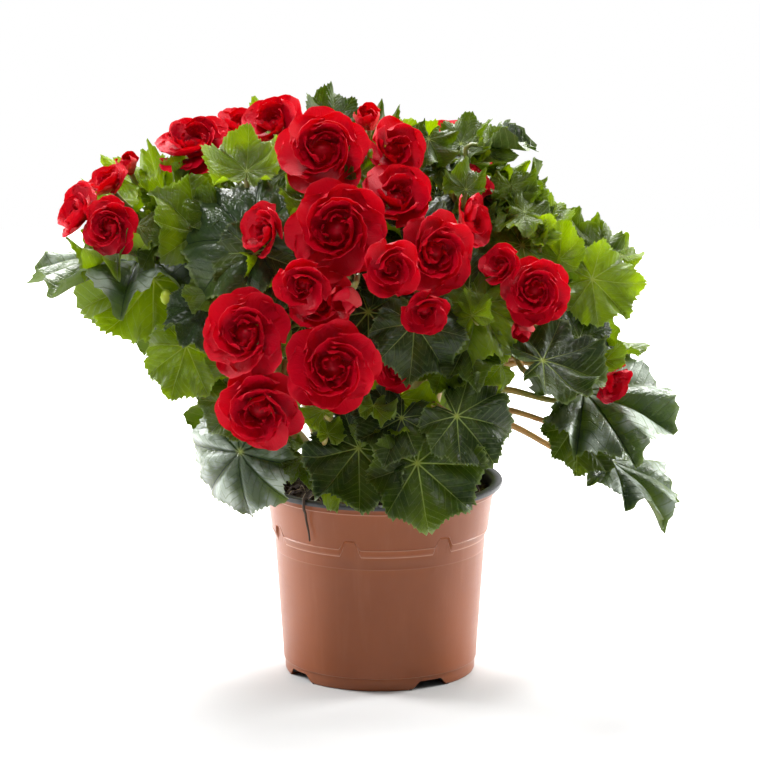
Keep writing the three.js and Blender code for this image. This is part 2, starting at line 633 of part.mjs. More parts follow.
// ---------------------------------------------------------------------------------------------
// Blooms
// ---------------------------------------------------------------------------------------------
function petalNet(petal, grow) {
  const outline = petal.broad ? BROAD_PETAL : POINTED_PETAL;
  const { length, width, cup, lifts } = petal;
  const points = outline.map(([u, w], i) => {
    const rise = u === 0 ? 0
      : cup * (PETAL_SIDE_RISE * w * w + PETAL_TIP_RISE * (u - 0.5) * (u - 0.5)) + lifts[i];
    const across = u === 0 ? Math.sign(w) * petal.rootHalf : w * width;
    return [u * (length + grow), across + Math.sign(w) * grow, rise * length];
  });
  const count = outline.length;
  const rim = outline.map((p, i) => i);
  if (petal.broad) {
    points.push([0.5 * length, 0, 0]);
    return { points, faces: rim.map((i) => [i, (i + 1) % count, count]), rim };
  }
  return { points, faces: [[0, 1, 4], [1, 3, 4], [1, 2, 3]], rim };
}

const coreRadius = (bloom) => bloom.core * CORE_WAIST;

// One petal: a thin cupped sheet that springs from the core; a variant shortens or leans it.
function petalShape(bloom, layer, k, [shrink, extraLean]) {
  const [count, long, broad, lean, cup, level] = PETAL_LAYERS[bloom.form][layer];
  const random = randomStream(bloom.seed + 17 * layer + k);
  const around = rad((360 / count) * (k + layer * 0.5) + bloom.spin);
  const tilt = rad(lean + extraLean + (random() - 0.5) * LEAN_SPREAD);
  const lifts = [0, 1, 2, 3, 4, 5].map(() => (random() - 0.5) * PETAL_RUFFLE);
  const { tip: across, side: up, normal: face } = bloom.frame;
  const out = across.clone().multiplyScalar(Math.cos(around)).addScaledVector(up, Math.sin(around));
  const tip = out.clone().multiplyScalar(Math.cos(tilt)).addScaledVector(face, Math.sin(tilt));
  const flat = face.clone().multiplyScalar(Math.cos(tilt)).addScaledVector(out, -Math.sin(tilt));
  const normal = flat.clone().applyAxisAngle(tip, rad(PETAL_ROLL));
  const side = new THREE.Vector3().crossVectors(normal, tip);
  const half = (Math.PI / count) * ROOT_SPREAD;
  const reach = coreRadius(bloom) * Math.cos(half);
  const root = bloom.middle.clone().addScaledVector(face, bloom.core * level).addScaledVector(out, reach);
  return {
    root: root.toArray(), frame: { normal, tip, side }, broad: layer === 0, cup, lifts,
    length: long * bloom.diameter * shrink, width: broad * bloom.diameter * shrink,
    rootHalf: coreRadius(bloom) * Math.sin(half),
  };
}

function makePetal(petal, grow) {
  return sheet(petalNet(petal, grow), petal.frame, petal.root, grow, PETAL_THICKNESS + grow);
}

// Triangles between two rings of [point number, angle], lower ring first, seen from outside.
function zipRings(lower, upper) {
  const triangles = [];
  let i = 0;
  let j = 0;
  const turn = 2 * Math.PI;
  const lowerAngle = (n) => lower[n % lower.length][1] + turn * Math.floor(n / lower.length);
  const upperAngle = (n) => upper[n % upper.length][1] + turn * Math.floor(n / upper.length);
  while (i < lower.length || j < upper.length) {
    const a = lower[i % lower.length][0];
    const b = upper[j % upper.length][0];
    if (j >= upper.length || (i < lower.length && lowerAngle(i + 1) <= upperAngle(j + 1))) {
      triangles.push([a, lower[(i + 1) % lower.length][0], b]);
      i += 1;
    } else {
      triangles.push([a, upper[(j + 1) % upper.length][0], b]);
      j += 1;
    }
  }
  return triangles;
}

// A bloom as one closed surface: each petal grows out of a slot in a band of the core.
function makeBloom(bloom) {
  const { tip: across, side: up, normal: face } = bloom.frame;
  const points = [];
  const triangles = [];
  const spot = (radius, angle, height) => bloom.middle.clone()
    .addScaledVector(across, radius * Math.cos(angle)).addScaledVector(up, radius * Math.sin(angle))
    .addScaledVector(face, height);
  const addPoint = (point) => points.push(point) - 1;
  const layers = PETAL_LAYERS[bloom.form];
  const sides = layers[0][0];
  const backRing = Array.from({ length: sides }, (_, k) => {
    const angle = (2 * Math.PI * k) / sides;
    return [addPoint(spot(BACK_RADIUS, angle, -bloom.core)), angle];
  });
  for (let k = 1; k < sides - 1; k += 1) {
    triangles.push([backRing[0][0], backRing[k + 1][0], backRing[k][0]]);
  }
  let below = backRing;
  layers.forEach(([count], layer) => {
    const lower = [];
    const upper = [];
    bloom.petals[layer].forEach((petal, k) => {
      const net = petalNet(petal, 0);
      const place = ([u, w, h], lift) => vec(petal.root).addScaledVector(petal.frame.tip, u)
        .addScaledVector(petal.frame.side, w).addScaledVector(petal.frame.normal, h + lift);
      const start = points.length;
      const size = net.points.length;
      net.points.forEach((p) => addPoint(place(p, 0)));
      net.points.forEach((p) => addPoint(place(p, -PETAL_THICKNESS)));
      net.faces.forEach(([a, b, c]) => {
        triangles.push([start + a, start + b, start + c]);
        triangles.push([start + c + size, start + b + size, start + a + size]);
      });
      const rimSize = net.rim.length;
      for (let a = 0; a < rimSize - 1; a += 1) {
        triangles.push([start + a, start + a + size, start + a + 1 + size]);
        triangles.push([start + a, start + a + 1 + size, start + a + 1]);
      }
      const half = (Math.PI / count) * ROOT_SPREAD;
      const angle = (2 * Math.PI * (k + layer * 0.5)) / count + rad(bloom.spin);
      upper.push([start, angle - half], [start + rimSize - 1, angle + half]);
      lower.push([start + size, angle - half], [start + size + rimSize - 1, angle + half]);
    });
    for (let k = 0; k < count; k += 1) {
      const a = 2 * k + 1;
      const b = (2 * k + 2) % (2 * count);
      triangles.push([lower[a][0], lower[b][0], upper[b][0]], [lower[a][0], upper[b][0], upper[a][0]]);
    }
    const shift = Math.floor((lower[0][1] - below[0][1]) / (2 * Math.PI) * below.length + 0.5);
    const turned = below.map((_, n) => {
      const index = (((n + shift) % below.length) + below.length) % below.length;
      const laps = Math.floor((n + shift) / below.length);
      return [below[index][0], below[index][1] + laps * 2 * Math.PI];
    });
    triangles.push(...zipRings(turned, lower));
    below = upper;
  });
  const crown = addPoint(spot(0, 0, bloom.core * CORE_CROWN));
  below.forEach(([a], n) => triangles.push([a, below[(n + 1) % below.length][0], crown]));
  return solidOf(geometryOf(points, triangles));
}

// The core alone, grown: what other pieces keep out of.
function coreSpace(bloom, grow) {
  const r = coreRadius(bloom) + grow;
  const profile = toProfile([
    [0, -bloom.core - grow], [BACK_RADIUS + grow, -bloom.core - grow], [r, -0.5 * bloom.core],
    [r, 0.25 * bloom.core], [0, bloom.core + grow],
  ]);
  const geometry = lathe(profile, 6);
  const { tip, side, normal } = bloom.frame;
  geometry.applyMatrix4(new THREE.Matrix4().makeBasis(tip, side, normal).setPosition(bloom.middle));
  return solidOf(geometry);
}

// ---------------------------------------------------------------------------------------------
// Layout
// ---------------------------------------------------------------------------------------------
function crownPoint(azimuth, height, share) {
  const a = rad(azimuth);
  const e = rad(height);
  return [
    CROWN_MIDDLE[0] + share * CROWN_REACH[0] * Math.sin(a) * Math.cos(e),
    CROWN_MIDDLE[1] - share * CROWN_REACH[1] * Math.cos(a) * Math.cos(e),
    CROWN_MIDDLE[2] + share * CROWN_REACH[2] * Math.sin(e),
  ];
}

// The stem that bears what grows at an azimuth of the crown.
const stemAt = (azimuth) => STEM_SECTORS.find(([end]) => azimuth < end)[1];

function ringRows(rings, seed, makeRow) {
  const random = randomStream(seed);
  return rings.flatMap(([height, count, first, last]) => {
    const rows = [];
    for (let k = 0; k < count; k += 1) {
      const even = THREE.MathUtils.lerp(first, last, k / Math.max(count - 1, 1));
      const azimuth = even + (random() - 0.5) * RING_SPREAD;
      rows.push(makeRow(azimuth, height + (random() - 0.5) * RING_SPREAD, random));
    }
    return rows;
  });
}

function leafRows() {
  const back = ringRows(BACK_LEAF_RINGS, 21, (azimuth, height, random) => [
    stemAt(azimuth), crownPoint(azimuth, height, 1), azimuth, 28 + Math.max(height, -20) * 0.5,
    (random() - 0.5) * 60, BACK_LEAF_LENGTH * (0.8 + 0.4 * random()), -0.12,
  ]);
  const inner = ringRows(INNER_LEAF_RINGS, 45, (azimuth, height, random) => [
    stemAt(azimuth), crownPoint(azimuth, height, INNER_SHARE), azimuth, 50 + height * 0.5,
    (random() - 0.5) * 60, BACK_LEAF_LENGTH * (0.8 + 0.3 * random()), -0.1,
  ]);
  return [...FRONT_LEAVES, ...back, ...inner];
}

function bloomRows() {
  const back = ringRows(BACK_BLOOM_RINGS, 33, (azimuth, height, random) => {
    const size = BACK_BLOOM_DIAMETER * (0.75 + 0.4 * random());
    return [stemAt(azimuth), crownPoint(azimuth, height, BLOOM_SHARE),
      azimuth, 10 + height * 0.7, size, size > BACK_ROSE_FROM ? 'rose' : 'cup'];
  });
  return [...FRONT_BLOOMS, ...back];
}

function stemCurve([, foot, tip]) {
  const start = new THREE.Vector3(foot[0], foot[1], SOIL_TOP - STEM_FOOT_DEPTH);
  const end = vec(tip);
  const rise = end.z - start.z;
  const first = start.clone().add(new THREE.Vector3(0, 0, rise * 0.45));
  const second = end.clone().add(new THREE.Vector3((foot[0] - tip[0]) * 0.35,
    (foot[1] - tip[1]) * 0.35, -rise * 0.2));
  return (t) => bezier(start, first, second, end, t);
}

// ---------------------------------------------------------------------------------------------
// Growth: each piece takes the first way that keeps it clear of what stands already
// ---------------------------------------------------------------------------------------------
function taper(from, to, count) {
  return Array.from({ length: count }, (_, i) => THREE.MathUtils.lerp(from, to, i / (count - 1)));
}

// A stem's or stalk's tube; grown, it is thicker all round and a little longer.
function makeStalk({ points, radii, sides, arrive }, grow) {
  const ends = points.slice();
  const firstStep = new THREE.Vector3().subVectors(points[0], points[1]).normalize();
  const direction = arrive ?? new THREE.Vector3().subVectors(points.at(-1), points.at(-2)).normalize();
  ends[0] = points[0].clone().addScaledVector(firstStep, grow);
  ends[ends.length - 1] = points.at(-1).clone().addScaledVector(direction, grow * 0.9);
  const swell = grow / Math.cos(Math.PI / sides);
  return tube(ends, radii.map((r) => r + swell), sides, direction);
}

function stalkPoints(start, leave, end, arrive, bend, turn) {
  const along = new THREE.Vector3().subVectors(end, start);
  const reach = along.length() * STALK_REACH;
  along.normalize();
  const helper = Math.abs(along.z) < 0.9 ? new THREE.Vector3(0, 0, 1) : new THREE.Vector3(1, 0, 0);
  const across = new THREE.Vector3().crossVectors(along, helper).normalize();
  across.applyAxisAngle(along, rad(turn)).multiplyScalar(bend);
  const first = start.clone().addScaledVector(leave, reach).add(across);
  const second = end.clone().addScaledVector(arrive, -reach).addScaledVector(across, 0.7);
  return taper(0, 1, STALK_STEPS + 1).map((t) => bezier(start, first, second, end, t));
}

// What stands already: each with its node and its grown solid, which others keep out of.
const standing = [];
const stand = (node, halo) => standing.push({ node, halo });

// How many standing pieces a solid crosses: those of other nodes, and those of its own.
function crossings(node, solid) {
  const met = standing.filter(({ halo }) => boxesMeet(solid, halo) && !solid.intersect(halo).isEmpty());
  const own = met.filter((piece) => piece.node === node).length;
  return { foreign: met.length - own, own };
}

// The first way of making a piece that crosses nothing, or else the one that crosses least.
function clearest(node, ways, ownCost, make) {
  let best = null;
  for (let i = 0; i < ways.length; i += 1) {
    const made = make(ways[i]);
    const { foreign, own } = crossings(node, made.solid);
    const cost = FOREIGN_COST * (foreign + (made.fault ? 1 : 0)) + ownCost * own + i;
    if (!best || cost < best.cost) {
      best = { ...made, cost, foreign };
    }
    if (cost === i) {
      return best;
    }
  }
  return best;
}

// A point a short way from one end of a step, and never past most of it.
function stepFrom(from, to, distance) {
  return from.clone().lerp(to, Math.min(0.9, distance / from.distanceTo(to)));
}

// Lays a stalk from a stem to an end that it reaches in a given direction, round a shield. Its
// crossings are counted on the stretch between the stem and the piece that it bears.
function layStalk(stem, end, arrive, endRadius, shield) {
  const height = (end.z - ROOTS_FROM) / (stem.top - ROOTS_FROM + ROOTS_OVER);
  const share = THREE.MathUtils.clamp(ROOT_SHARE + ROOT_RISE * height, ...ROOT_RANGE);
  return clearest(stem.node, STALK_WAYS, OWN_COST, ([bend, turn, slip]) => {
    const root = Math.min(share + slip, ROOT_RANGE[1] + 0.01);
    const start = stem.curve(root);
    const leave = stem.curve(root + 0.02).sub(stem.curve(root - 0.02)).normalize()
      .add(end.clone().sub(start).normalize()).normalize();
    const points = stalkPoints(start, leave, end, arrive, bend, turn);
    const radii = taper(STALK_RADIUS, endRadius, points.length);
    const stalk = { points, radii, sides: STALK_SIDES, arrive };
    const away = stepFrom(start, points[1], STEM_CLEARANCE);
    const before = stepFrom(end, points.at(-2), END_CLEARANCE);
    const solid = makeStalk({ ...stalk, points: [away, ...points.slice(1, -1), before] }, 0);
    return { stalk, solid, fault: !solid.intersect(shield).isEmpty() };
  });
}

function growStem(row) {
  const curve = stemCurve(row);
  const points = taper(0, 1, STEM_STEPS + 1).map(curve);
  const trunk = {
    points, radii: taper(STEM_FOOT_RADIUS, STEM_TIP_RADIUS, points.length), sides: STEM_SIDES,
  };
  const node = `stem_${row[0]}`;
  stand(node, makeStalk(trunk, GAP));
  return { node, curve, top: row[2][2], trunk, solids: [makeStalk(trunk, 0)] };
}

function growBloom(stems, [stemName, middle, azimuth, elevation, diameter, form], i) {
  const bloom = {
    node: `bloom_${String(i + 1).padStart(2, '0')}`,
    middle: vec(middle),
    diameter,
    form,
    seed: 1000 + 40 * i,
    spin: (i * BLOOM_TURN) % 72,
    core: CORE_SHARE[form] * diameter,
    frame: bladeFrame(azimuth, elevation, 0),
  };
  const { normal } = bloom.frame;
  const stem = stems.find(({ node }) => node === `stem_${stemName}`);
  const end = bloom.middle.clone().addScaledVector(normal, -bloom.core - GAP);
  const { stalk } = layStalk(stem, end, normal, STALK_BLOOM_END, coreSpace(bloom, 0));
  stem.solids.push(makeStalk(stalk, 0));
  stand(stem.node, makeStalk(stalk, GAP));
  bloom.petals = PETAL_LAYERS[form].map(([count], layer) => taper(0, count - 1, count).map((k) => {
    const { petal } = clearest(bloom.node, PETAL_WAYS, PETAL_COST, (way) => {
      const shape = petalShape(bloom, layer, k, way);
      return { petal: shape, solid: makePetal(shape, 0) };
    });
    stand(bloom.node, makePetal(petal, GAP));
    return petal;
  }));
  stand(bloom.node, coreSpace(bloom, GAP));
  return bloom;
}

// A leaf that finds no clear way is left out.
function growLeaf(stems, [stemName, place, azimuth, elevation, turn, length, dish], i) {
  const stem = stems.find(({ node }) => node === `stem_${stemName}`);
  const random = randomStream(100 + i);
  const phase = random() * 2 * Math.PI;
  const skew = random() < 0.5 ? -LEAF_SKEW : LEAF_SKEW;
  const { leaf, solid, foreign } = clearest(stem.node, LEAF_WAYS, OWN_COST, ([shrink, nod, push]) => {
    const frame = bladeFrame(azimuth, elevation + nod, turn);
    const navel = vec(place).addScaledVector(frame.normal, push).toArray();
    const shape = { navel, frame, length: length * shrink, dish, phase, skew };
    return { leaf: shape, solid: makeBlade(shape, 0) };
  });
  if (foreign > 0) {
    return;
  }
  const { normal, tip } = leaf.frame;
  const end = vec(leaf.navel).addScaledVector(normal, -BLADE_THICKNESS);
  const arrive = normal.clone().multiplyScalar(0.75).addScaledVector(tip, 0.65).normalize();
  const { stalk } = layStalk(stem, end, arrive, STALK_TIP_RADIUS, solid);
  stem.solids.push(makeStalkedLeaf(leaf, stalk));
  stand(stem.node, makeBlade(leaf, GAP));
  stand(stem.node, makeStalk(stalk, GAP));
}

// ---------------------------------------------------------------------------------------------
// Assembly
// ---------------------------------------------------------------------------------------------
function meshOf(name, solid, colour, roughness, origin = [0, 0, 0]) {
  const { vertProperties, triVerts } = solid.getMesh();
  const geometry = new THREE.BufferGeometry();
  geometry.setAttribute('position', new THREE.BufferAttribute(vertProperties, 3));
  geometry.setIndex(new THREE.BufferAttribute(triVerts, 1));
  geometry.translate(...origin.map((v) => -v));
  geometry.computeVertexNormals();
  const material = new THREE.MeshStandardMaterial({ color: colour, roughness, metalness: 0 });
  const mesh = new THREE.Mesh(geometry, material);
  mesh.name = name;
  mesh.position.fromArray(origin);
  return mesh;
}

const stems = STEMS.map(growStem);
const blooms = bloomRows().map((row, i) => growBloom(stems, row, i));
leafRows().forEach((row, i) => growLeaf(stems, row, i));

const begonia = new THREE.Group();
begonia.add(meshOf('pot', makePot(), COLOURS.pot, 0.5));
begonia.add(meshOf('soil', makeSoil(stems.map(({ trunk }) => makeStalk(trunk, GAP))), COLOURS.soil, 1));
stems.forEach(({ node, solids }) => {
  begonia.add(meshOf(node, mainPiece(join(solids)), COLOURS.leaf, 0.5));
});
blooms.forEach((bloom) => {
  const colour = bloom.form === 'bud' ? COLOURS.bud : COLOURS.bloom;
  begonia.add(meshOf(bloom.node, makeBloom(bloom), colour, 0.55, bloom.middle.toArray()));
});

export default begonia;
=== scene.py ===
"""Looks of a potted tuberous begonia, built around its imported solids.

The tables and the rules that place leaves, stalks and petals repeat those of the solids, so
each fine piece stands where its solid does.  Shapes are worked out in millimetres and become
metres when a mesh is made.  +Z is up, -Y the plant's front and +X its right.
"""

import math

import bmesh
import bpy
import numpy as np
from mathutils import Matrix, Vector


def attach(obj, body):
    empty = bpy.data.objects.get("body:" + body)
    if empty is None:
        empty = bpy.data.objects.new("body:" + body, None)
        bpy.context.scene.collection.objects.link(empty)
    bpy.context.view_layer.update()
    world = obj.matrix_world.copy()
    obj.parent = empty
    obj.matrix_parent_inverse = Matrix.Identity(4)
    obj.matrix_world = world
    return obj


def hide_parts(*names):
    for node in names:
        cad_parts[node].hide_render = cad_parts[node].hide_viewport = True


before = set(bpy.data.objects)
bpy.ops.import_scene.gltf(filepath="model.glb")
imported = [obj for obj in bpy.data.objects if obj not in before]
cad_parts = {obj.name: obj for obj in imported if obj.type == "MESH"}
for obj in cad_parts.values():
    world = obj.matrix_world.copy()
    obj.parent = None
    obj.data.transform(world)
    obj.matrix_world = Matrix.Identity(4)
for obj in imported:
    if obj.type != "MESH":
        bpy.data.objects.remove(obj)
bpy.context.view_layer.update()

# ------------------------------------------------------------------------------------------
# Sizes and tables shared with the solids, in millimetres and degrees
# ------------------------------------------------------------------------------------------
GAP = 0.32

POT_HEIGHT = 103.5
POT_WALL = 1.2
LIP_RADIUS = 65
LIP_THICKNESS = 3
LIP_INNER_RADIUS = 59.2
STRIP_RADIUS = 61.8
STRIP_BOTTOM = 97.6
COLLAR_TOP_RADIUS = 60.3
COLLAR_FOOT_RADIUS = 57.4
STEP_TOP = 77.4
STEP_BOTTOM = 73.9
BODY_TOP_RADIUS = 55.9
BODY_FOOT_RADIUS = 51.3
FOOT_LEDGE = 7
FOOT_RADIUS = 50.4
CORNER = 1.2
ARCH_COUNT = 7
ARCH_FIRST = -16
ARCH_FOOT_WIDTH = 12
ARCH_HEIGHT = 7
DRAIN_COUNT = 4
DRAIN_FIRST = 32
DRAIN_HEIGHT = 4.5
DRAIN_TOP_WIDTH = 13
DRAIN_FOOT_WIDTH = 22
DRAIN_START = 18

SOIL_TOP = 97.5
SOIL_CROWN = 4
STEM_FOOT_DEPTH = 34
STEM_FOOT_RADIUS = 4.4
STEM_TIP_RADIUS = 2.3
STALK_RADIUS = 1.5
STALK_TIP_RADIUS = 1.05
STALK_BLOOM_END = 1.4
BLADE_THICKNESS = 0.9

# Leafy stems: name, foot in the soil [x, y], tip [x, y, z].
STEMS = [
    ['left', [-24, -4], [-80, -24, 232]],
    ['front', [-12, -16], [-46, -50, 232]],
    ['top', [-4, 6], [-12, -2, 258]],
    ['high', [11, -4], [42, -16, 246]],
    ['right', [26, -8], [86, -30, 200]],
    ['low', [8, -24], [22, -56, 178]],
    ['drop', [-14, -32], [-50, -60, 150]],
    ['back_left', [-20, 18], [-66, 46, 222]],
    ['back_middle', [-2, 26], [-14, 66, 230]],
    ['back_right', [20, 18], [56, 50, 222]],
]

# Leaves: stem, navel [x, y, z], the way the face looks (azimuth from the front, + right, and
# elevation), turn of the tip from straight downhill (+ right), length, dish (+ cupped), and
# here the look of those that stand out.
FRONT_LEAVES = [
    ['left', [-119, -45, 223], -20, 38, -70, 44, -0.2],
    ['left', [-124, -20, 226], -90, 86, 0, 58, -0.1, 'silver'],
    ['left', [-133, -40, 232], -55, 62, 10, 28, 0.1],
    ['left', [-99, -72, 190], -15, 25, -10, 29, 0.1, 'lime'],
    ['left', [-90, -62, 202], 0, 45, -25, 26, -0.1],
    ['left', [-119, -15, 258], -60, 55, -20, 30, 0.35, 'lime'],
    ['left', [-116, -25, 259], -95, 50, 150, 27, 0.1],
    ['left', [-105, -35, 253], 0, 42, 170, 26, 0.45, 'lime'],
    ['left', [-108, -50, 245], -40, 62, -20, 21, -0.4],
    ['left', [-98, -50, 243], 35, 22, 175, 30, 0.1],
    ['front', [-63, -82, 247], -18, 28, -128, 42, -0.15, 'blue'],
    ['front', [-63, -86, 241], -6, 8, -8, 31, -0.25, 'dark'],
    ['front', [-68, -55, 272], 0, 52, 178, 24, 0.1],
    ['front', [-61, -50, 274], 5, 62, 150, 19, 0.1],
    ['front', [-33, -75, 263], 0, 48, 180, 24, 0],
    ['top', [-59, 20, 284], -30, 60, 168, 19, 0.3],
    ['top', [-24, 15, 293], 15, 52, 170, 18, 0.3],
    ['top', [17, -20, 276], 30, 32, 178, 24, 0.1],
    ['high', [42, -8, 284], -10, 50, 168, 18, 0.25],
    ['high', [45, -10, 276], 20, 42, 178, 22, 0.1],
    ['high', [46, -5, 275], 85, 112, 195, 35, -0.05, 'dark'],
    ['high', [62, -5, 251], 85, 120, 190, 30, 0],
    ['high', [68, -30, 247], 0, 52, -150, 24, 0.1],
    ['high', [85, -20, 245], 20, 55, 175, 17, 0.1],
    ['right', [101, -20, 236], 30, 45, 172, 18, 0.2],
    ['right', [73, -50, 236], 0, 40, -110, 24, 0.1],
    ['right', [92, -45, 228], 5, 40, 172, 18, 0.3],
    ['right', [114, -20, 228], 10, 50, -150, 21, 0.1],
    ['right', [108, -35, 215], 12, 28, 80, 27, 0.05, 'lime'],
    ['right', [83, -80, 184], 20, 58, 105, 34, 0, 'dark'],
    ['right', [103, -50, 189], 20, 40, 150, 24, 0.1],
    ['right', [100, -46, 141], 40, 36, 25, 30, -0.1, 'dull'],
    ['right', [106, -30, 157], 20, 70, 98, 51, -0.1, 'silver'],
    ['right', [123, -31, 123], 60, 62, 0, 42, -0.1, 'silver'],
    ['low', [39, -94, 158], 8, 28, 40, 30, -0.1, 'dark'],
    ['low', [19, -92, 133], 4, 20, 8, 36, -0.1, 'deep'],
    ['low', [-11, -80, 138], -8, 34, -35, 34, -0.1, 'dark'],
    ['low', [11, -78, 150], 0, 30, -20, 26, 0, 'dark'],
    ['low', [17, -88, 204], 5, 22, -5, 29, -0.2, 'dark'],
    ['low', [-6, -64, 206], 0, 18, 0, 33, -0.1, 'dark'],
    ['low', [52, -78, 216], 14, 42, 20, 32, -0.1],
    ['low', [45, -84, 198], 10, 35, 10, 24, -0.1],
    ['low', [66, -72, 188], 10, 22, 5, 26, -0.1, 'dark'],
    ['low', [35, -76, 188], 5, 30, -20, 24, 0],
    ['low', [45, -66, 218], -5, 15, 178, 26, 0.1],
    ['low', [9, -70, 162], -10, 40, -30, 26, 0],
    ['drop', [-72, -66, 133], -22, 4, -6, 38, -0.55, 'silver'],
    ['drop', [-69, -84, 163], -10, 18, -50, 24, -0.1],
]

# Small leaves that only the scene has, in the same form.
SMALL_LEAVES = [
    ['left', [-124, -50, 248], -30, 30, 10, 15, 0],
    ['left', [-123, 10, 268], -60, 70, 180, 14, 0],
    ['left', [-85, -75, 219], -30, 30, -30, 15, 0.3],
    ['top', [-2, 10, 289], 10, 60, 178, 14, 0.2],
    ['top', [8, 0, 285], 20, 60, 180, 15, 0],
    ['top', [-10, -72, 280], 20, 40, 160, 12, 0.2],
    ['high', [44, -55, 268], 10, 40, 170, 14, 0.2],
    ['high', [46, -50, 254], 30, 50, 120, 14, 0],
    ['high', [31, -25, 274], 0, 52, -95, 18, 0.1],
    ['high', [75, -35, 248], 20, 42, 172, 14, 0.35],
    ['right', [82, -48, 229], -10, 60, -40, 18, 0],
    ['right', [126, -15, 226], 40, 60, 160, 13, 0.2],
    ['right', [116, -50, 178], 10, 30, 170, 12, 0.3],
    ['front', [-56, -84, 239], 25, 15, 20, 18, -0.2],
    ['drop', [-75, -84, 184], -20, 35, -30, 13, 0.2],
    ['drop', [-47, -55, 137], -30, 30, -40, 12, 0],
    ['drop', [-40, -66, 130], -10, 45, 20, 16, -0.2],
    ['drop', [-18, -72, 121], -20, 50, 40, 18, -0.1],
    ['high', [30, 5, 255], 10, 35, 0, 24, 0, 'dark'],
    ['top', [-50, 0, 264], -10, 35, 0, 22, 0, 'dark'],
    ['drop', [-40, -55, 197], -5, 30, 0, 24, 0, 'dark'],
]
# Seed pods that only the scene has: stem, middle, radius.
PODS = [
    ['left', [-110, -60, 213], 3.3],
]

# Where smaller leaves crowd round the crown and inside it: azimuths, heights, how far out as
# shares of the crown, how many, and their lengths.
FILLER_BANDS = [
    [(28, 88), (22, 66), (1.0, 1.1), 44, (10, 18)],
    [(-92, -48), (30, 66), (1.04, 1.16), 16, (10, 17)],
    [(-60, 70), (60, 84), (1.08, 1.18), 16, (10, 17)],
    [(-30, 40), (-34, 30), (0.92, 1.0), 16, (10, 17)],
    [(-75, 75), (22, 58), (0.66, 0.8), 20, (22, 30)],
    [(72, 112), (-4, 22), (0.72, 0.88), 9, (18, 25)],
    [(-108, -72), (-12, 22), (0.68, 0.84), 9, (18, 25)],
]

# Blooms: stem, middle [x, y, z], azimuth and elevation of the face, diameter, form.
FRONT_BLOOMS = [
    ['left', [-152, -45, 254], -62, 22, 30, 'cup'],
    ['left', [-137, -62, 250], -25, 6, 27, 'rose'],
    ['left', [-139, -34, 266], -55, 55, 24, 'cup'],
    ['left', [-131, -5, 271], -30, 60, 14, 'bud'],
    ['left', [-96, -22, 284], -15, 58, 37, 'rose'],
    ['front', [-74, -4, 290], 0, 65, 27, 'cup'],
    ['front', [-54, -26, 296], -30, 45, 32, 'cup'],
    ['front', [-29, -72, 290], 0, 26, 41, 'rose'],
    ['top', [6, -56, 288], 25, 20, 32, 'cup'],
    ['top', [-6, -38, 300], -10, 55, 17, 'bud'],
    ['top', [8, -82, 267], 10, 42, 36, 'cup'],
    ['low', [26, -96, 243], 26, 6, 38, 'rose'],
    ['front', [-21, -100, 255], -5, 16, 46, 'rose'],
    ['front', [-56, -92, 253], -50, 16, 28, 'cup'],
    ['front', [-38, -122, 232], -10, -4, 28, 'cup'],
    ['top', [5, -120, 240], 12, 2, 30, 'cup'],
    ['low', [22, -112, 217], 10, -18, 25, 'cup'],
    ['front', [-16, -118, 225], -30, -30, 19, 'bud'],
    ['high', [44, -70, 254], 60, 12, 29, 'cup'],
    ['high', [47, -38, 268], 60, 48, 22, 'cup'],
    ['right', [62, -82, 233], -25, 30, 22, 'cup'],
    ['right', [78, -84, 221], 5, 10, 32, 'rose'],
    ['right', [72, -80, 202], 0, -45, 14, 'bud'],
    ['right', [119, -38, 165], 45, -22, 23, 'cup'],
    ['drop', [-66, -116, 205], -20, 16, 40, 'rose'],
    ['low', [-24, -126, 191], 5, 6, 42, 'rose'],
    ['drop', [-60, -116, 168], -10, -14, 40, 'rose'],
    ['drop', [-30, -92, 216], 0, 26, 34, 'cup'],
    ['low', [7, -84, 181], 20, 0, 24, 'cup'],
]

# The back of the plant is laid out by rule on the back half of an egg-shaped crown.
CROWN_MIDDLE = [-8, 0, 192]
CROWN_REACH = [116, 100, 92]
# Rings of back leaves and blooms: height angle, count, first and last azimuth.
BACK_LEAF_RINGS = [
    [-34, 4, 150, 232],
    [-6, 6, 98, 234],
    [22, 5, 108, 250],
    [52, 3, 128, 246],
]
BACK_BLOOM_RINGS = [
    [6, 3, 128, 238],
    [28, 3, 140, 240],
    [52, 2, 146, 212],
]
INNER_SHARE = 0.6
INNER_LEAF_RINGS = [
    [6, 5, 60, 320],
    [50, 4, 20, 290],
]
RING_SPREAD = 10
STEM_SECTORS = [
    [20, 'low'], [55, 'high'], [95, 'right'], [150, 'back_right'], [205, 'back_middle'],
    [262, 'back_left'], [310, 'left'], [340, 'drop'], [360, 'front'],
]
BACK_LEAF_LENGTH = 38
BLOOM_SHARE = 1.08
BACK_BLOOM_DIAMETER = 38
BACK_ROSE_FROM = 41

LEAF_SKEW = 0.13
LEAF_PUCKER = 0.05
LEAF_WAVE = 0.07
LEAF_VEINS = 9
SMALL_LEAF = 22

